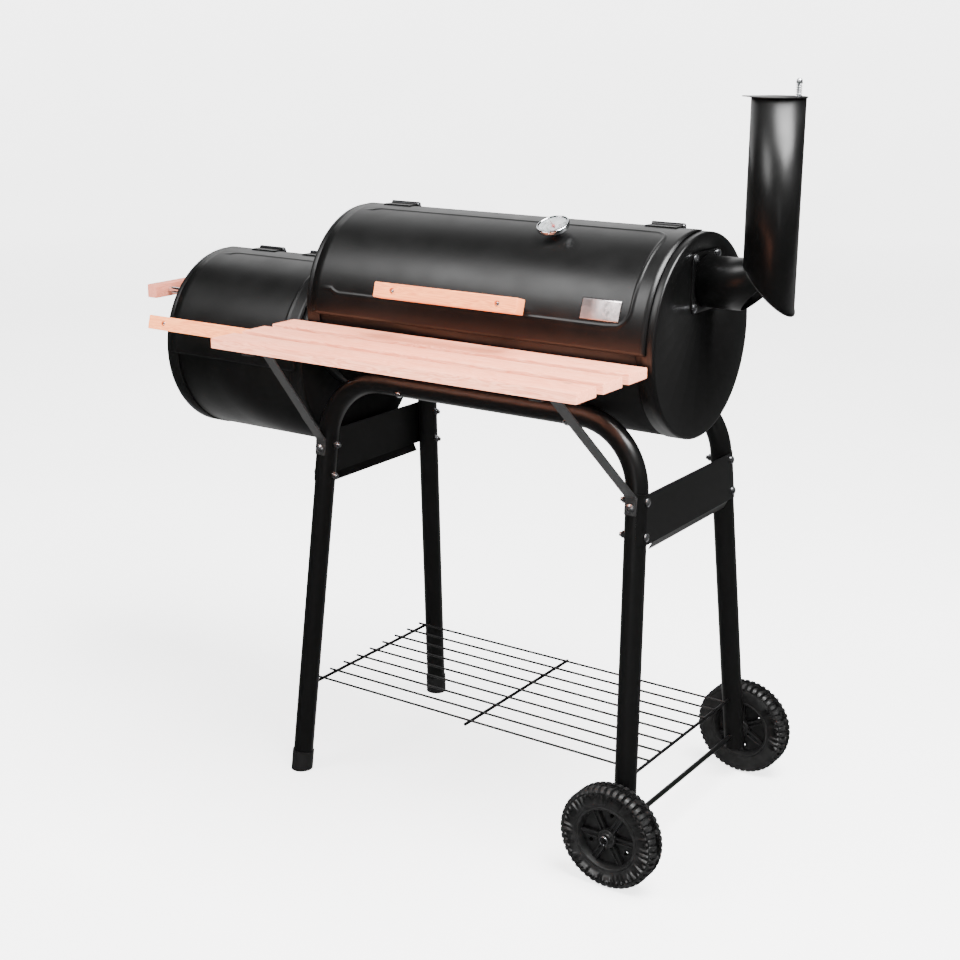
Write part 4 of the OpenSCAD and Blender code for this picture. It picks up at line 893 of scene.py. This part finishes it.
def make_web():
    """The wheel's middle: a web with small drain holes, ribbed spokes and a hub on each side."""
    holes = [(x, y, 3.4 * MM) for x, y in arc(0, 0, 0.43 * WHEEL_R, 85, 325, 2)]
    bm = flat_plate(arc(0, 0, RIM_R - 1.5 * MM, 0, 357, 119), WEB_H, holes + [(0, 0, BORE_R)])
    moved(bm, shifted(0, 0, -WEB_H / 2))
    half, fold = WHEEL_W / 2, 1.2 * MM
    hub = [(BORE_R, 0), (BORE_R, half - 2 * MM), (0.6 * HUB_R, half - 2 * MM), (0.66 * HUB_R, half - 3.2 * MM),
           (HUB_R - fold, half - 3.6 * MM)]
    hub += arc(HUB_R - fold, half - 4.8 * MM, fold, 90, 0, 4) + [(HUB_R + 0.6 * MM, 0)]
    length, rib_half_gap, rib_w, rib_h, rib_fall = RIM_R - HUB_R + 1 * MM, 3.4 * MM, 2.2 * MM, half - 8 * MM, 3 * MM
    spoke_x = HUB_R + length / 2 - 1.2 * MM
    for flip, lag in ((0, 0), (180, 30)):
        side = turned(flip, "X")
        add_mesh(bm, lathe(hub, 48), side)
        for i in range(SPOKES):
            spoke = side @ turned(360 / SPOKES * i + lag, "Z")
            for across in (-rib_half_gap, rib_half_gap):
                rib = round_box((length, rib_w, rib_h), 0.7 * MM, 2)
                for v in rib.verts:
                    if v.co.z > 0:
                        v.co.z -= (v.co.x / length + 0.5) * rib_fall
                add_mesh(bm, rib, spoke @ shifted(spoke_x, across, rib_h / 2 + 2 * MM))
            floor = round_box((length, 7 * MM, 3 * MM), 0.5 * MM, 1)
            add_mesh(bm, floor, spoke @ shifted(spoke_x, 0, 6.5 * MM))
    return bm


def make_wheel(node, facing):
    """A wheel on its axle, with its outer side towards the front for a facing of 1 and the rear for -1."""
    low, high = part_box(node)
    seat = shifted(*((low + high) / 2)) @ turned(90 * facing, "X")
    for name, bm, crease in (("tyre", make_tyre(), 28), ("spokes", make_web(), 35)):
        new_piece(node + "_" + name, moved(bm, seat), node, WHEEL, [node], crease=crease)


make_wheel("front_wheel", 1)
make_wheel("rear_wheel", -1)


# ---- camera, light and floor ----

LENS_MM, SENSOR_MM = 59.07, 36
CAMERA_AT = (1.37854, -1.92556, 1.18113)
CAMERA_HEADING, CAMERA_TILT, CAMERA_ROLL = 34.167, 73.681, 0.153
FLOOR_GLOW = 3.6
BRIGHT_SIDE = (-0.3, 0.62, -0.72)
WORLD_LEVELS = [(0.0, 0.03), (0.5, 0.05), (0.75, 0.3), (1.0, 0.9)]
LIGHTS = [  # name, place, aim, size in metres, watts
    ("left_softbox", (-1.1, -1.75, 2.6), (0.1, -0.1, 0.9), (1.3, 1.2), 60),
    ("rear_softbox", (-2.0, 2.3, 2.6), (0, 0, 0.9), (3.2, 2.6), 46),
    ("overhead", (1.3, -0.3, 3.0), (0.1, -0.1, 0.6), (1.6, 1.6), 360),
    ("front_fill", (1.3, -3.0, 1.0), (0.2, 0, 0.9), (0.5, 1.5), 6),
]


def make_camera():
    """Stands to the right of the front and looks down a little."""
    data = bpy.data.cameras.new("camera")
    data.lens = LENS_MM
    data.sensor_width = SENSOR_MM
    camera = bpy.data.objects.new("camera", data)
    bpy.context.scene.collection.objects.link(camera)
    camera.matrix_world = (shifted(*CAMERA_AT) @ turned(CAMERA_HEADING, "Z") @ turned(CAMERA_TILT, "X")
                           @ turned(CAMERA_ROLL, "Z"))
    bpy.context.scene.camera = camera


def area_light(name, at, aim, size, watts):
    """A soft rectangular light that looks at its aim."""
    data = bpy.data.lights.new(name, "AREA")
    data.shape = "RECTANGLE"
    data.size, data.size_y = size
    data.energy = watts
    data.spread = math.radians(180)
    lamp = bpy.data.objects.new(name, data)
    bpy.context.scene.collection.objects.link(lamp)
    lamp.location = at
    lamp.rotation_euler = (Vector(aim) - Vector(at)).to_track_quat("-Z", "Y").to_euler()


def make_floor():
    """A pale floor that sweeps up into a low round wall far behind, and glows a little."""
    flat_r, sweep_r, wall_top = 7, 2, 4
    bm = lathe([(0, 0), (flat_r, 0)] + arc(flat_r, sweep_r, sweep_r, -90, 0, 12)
               + [(flat_r + sweep_r, wall_top)], 96)
    mesh = bpy.data.meshes.new("floor")
    bm.to_mesh(mesh)
    bm.free()
    mesh.shade_smooth()
    pale = Finish("pale_floor", (0.8, 0.8, 0.8), 0.9, specular=0.0)
    shade = pale.ramp(pale.noise(2.0), [(0.3, 0.78), (0.7, 0.8)])
    pale.use("Base Color", shade)
    pale.use("Emission Color", shade)
    pale.shader.inputs["Emission Strength"].default_value = FLOOR_GLOW
    mesh.materials.append(pale.material)
    floor = bpy.data.objects.new("floor", mesh)
    bpy.context.scene.collection.objects.link(floor)
    floor.visible_glossy = False


def make_world(bright_side, levels):
    """Light all round that grows towards one side, with a level for each share of the way there."""
    world = bpy.data.worlds.new("studio")
    world.use_nodes = True
    nodes, links = world.node_tree.nodes, world.node_tree.links
    along = nodes.new("ShaderNodeVectorMath")
    along.operation = "DOT_PRODUCT"
    along.inputs[1].default_value = Vector(bright_side).normalized()
    links.new(nodes.new("ShaderNodeTexCoord").outputs["Generated"], along.inputs[0])
    links.new(color_ramp(nodes, links, along.outputs["Value"], levels), nodes["Background"].inputs["Color"])
    bpy.context.scene.world = world


make_camera()
make_floor()
make_world(BRIGHT_SIDE, WORLD_LEVELS)
for light in LIGHTS:
    area_light(*light)
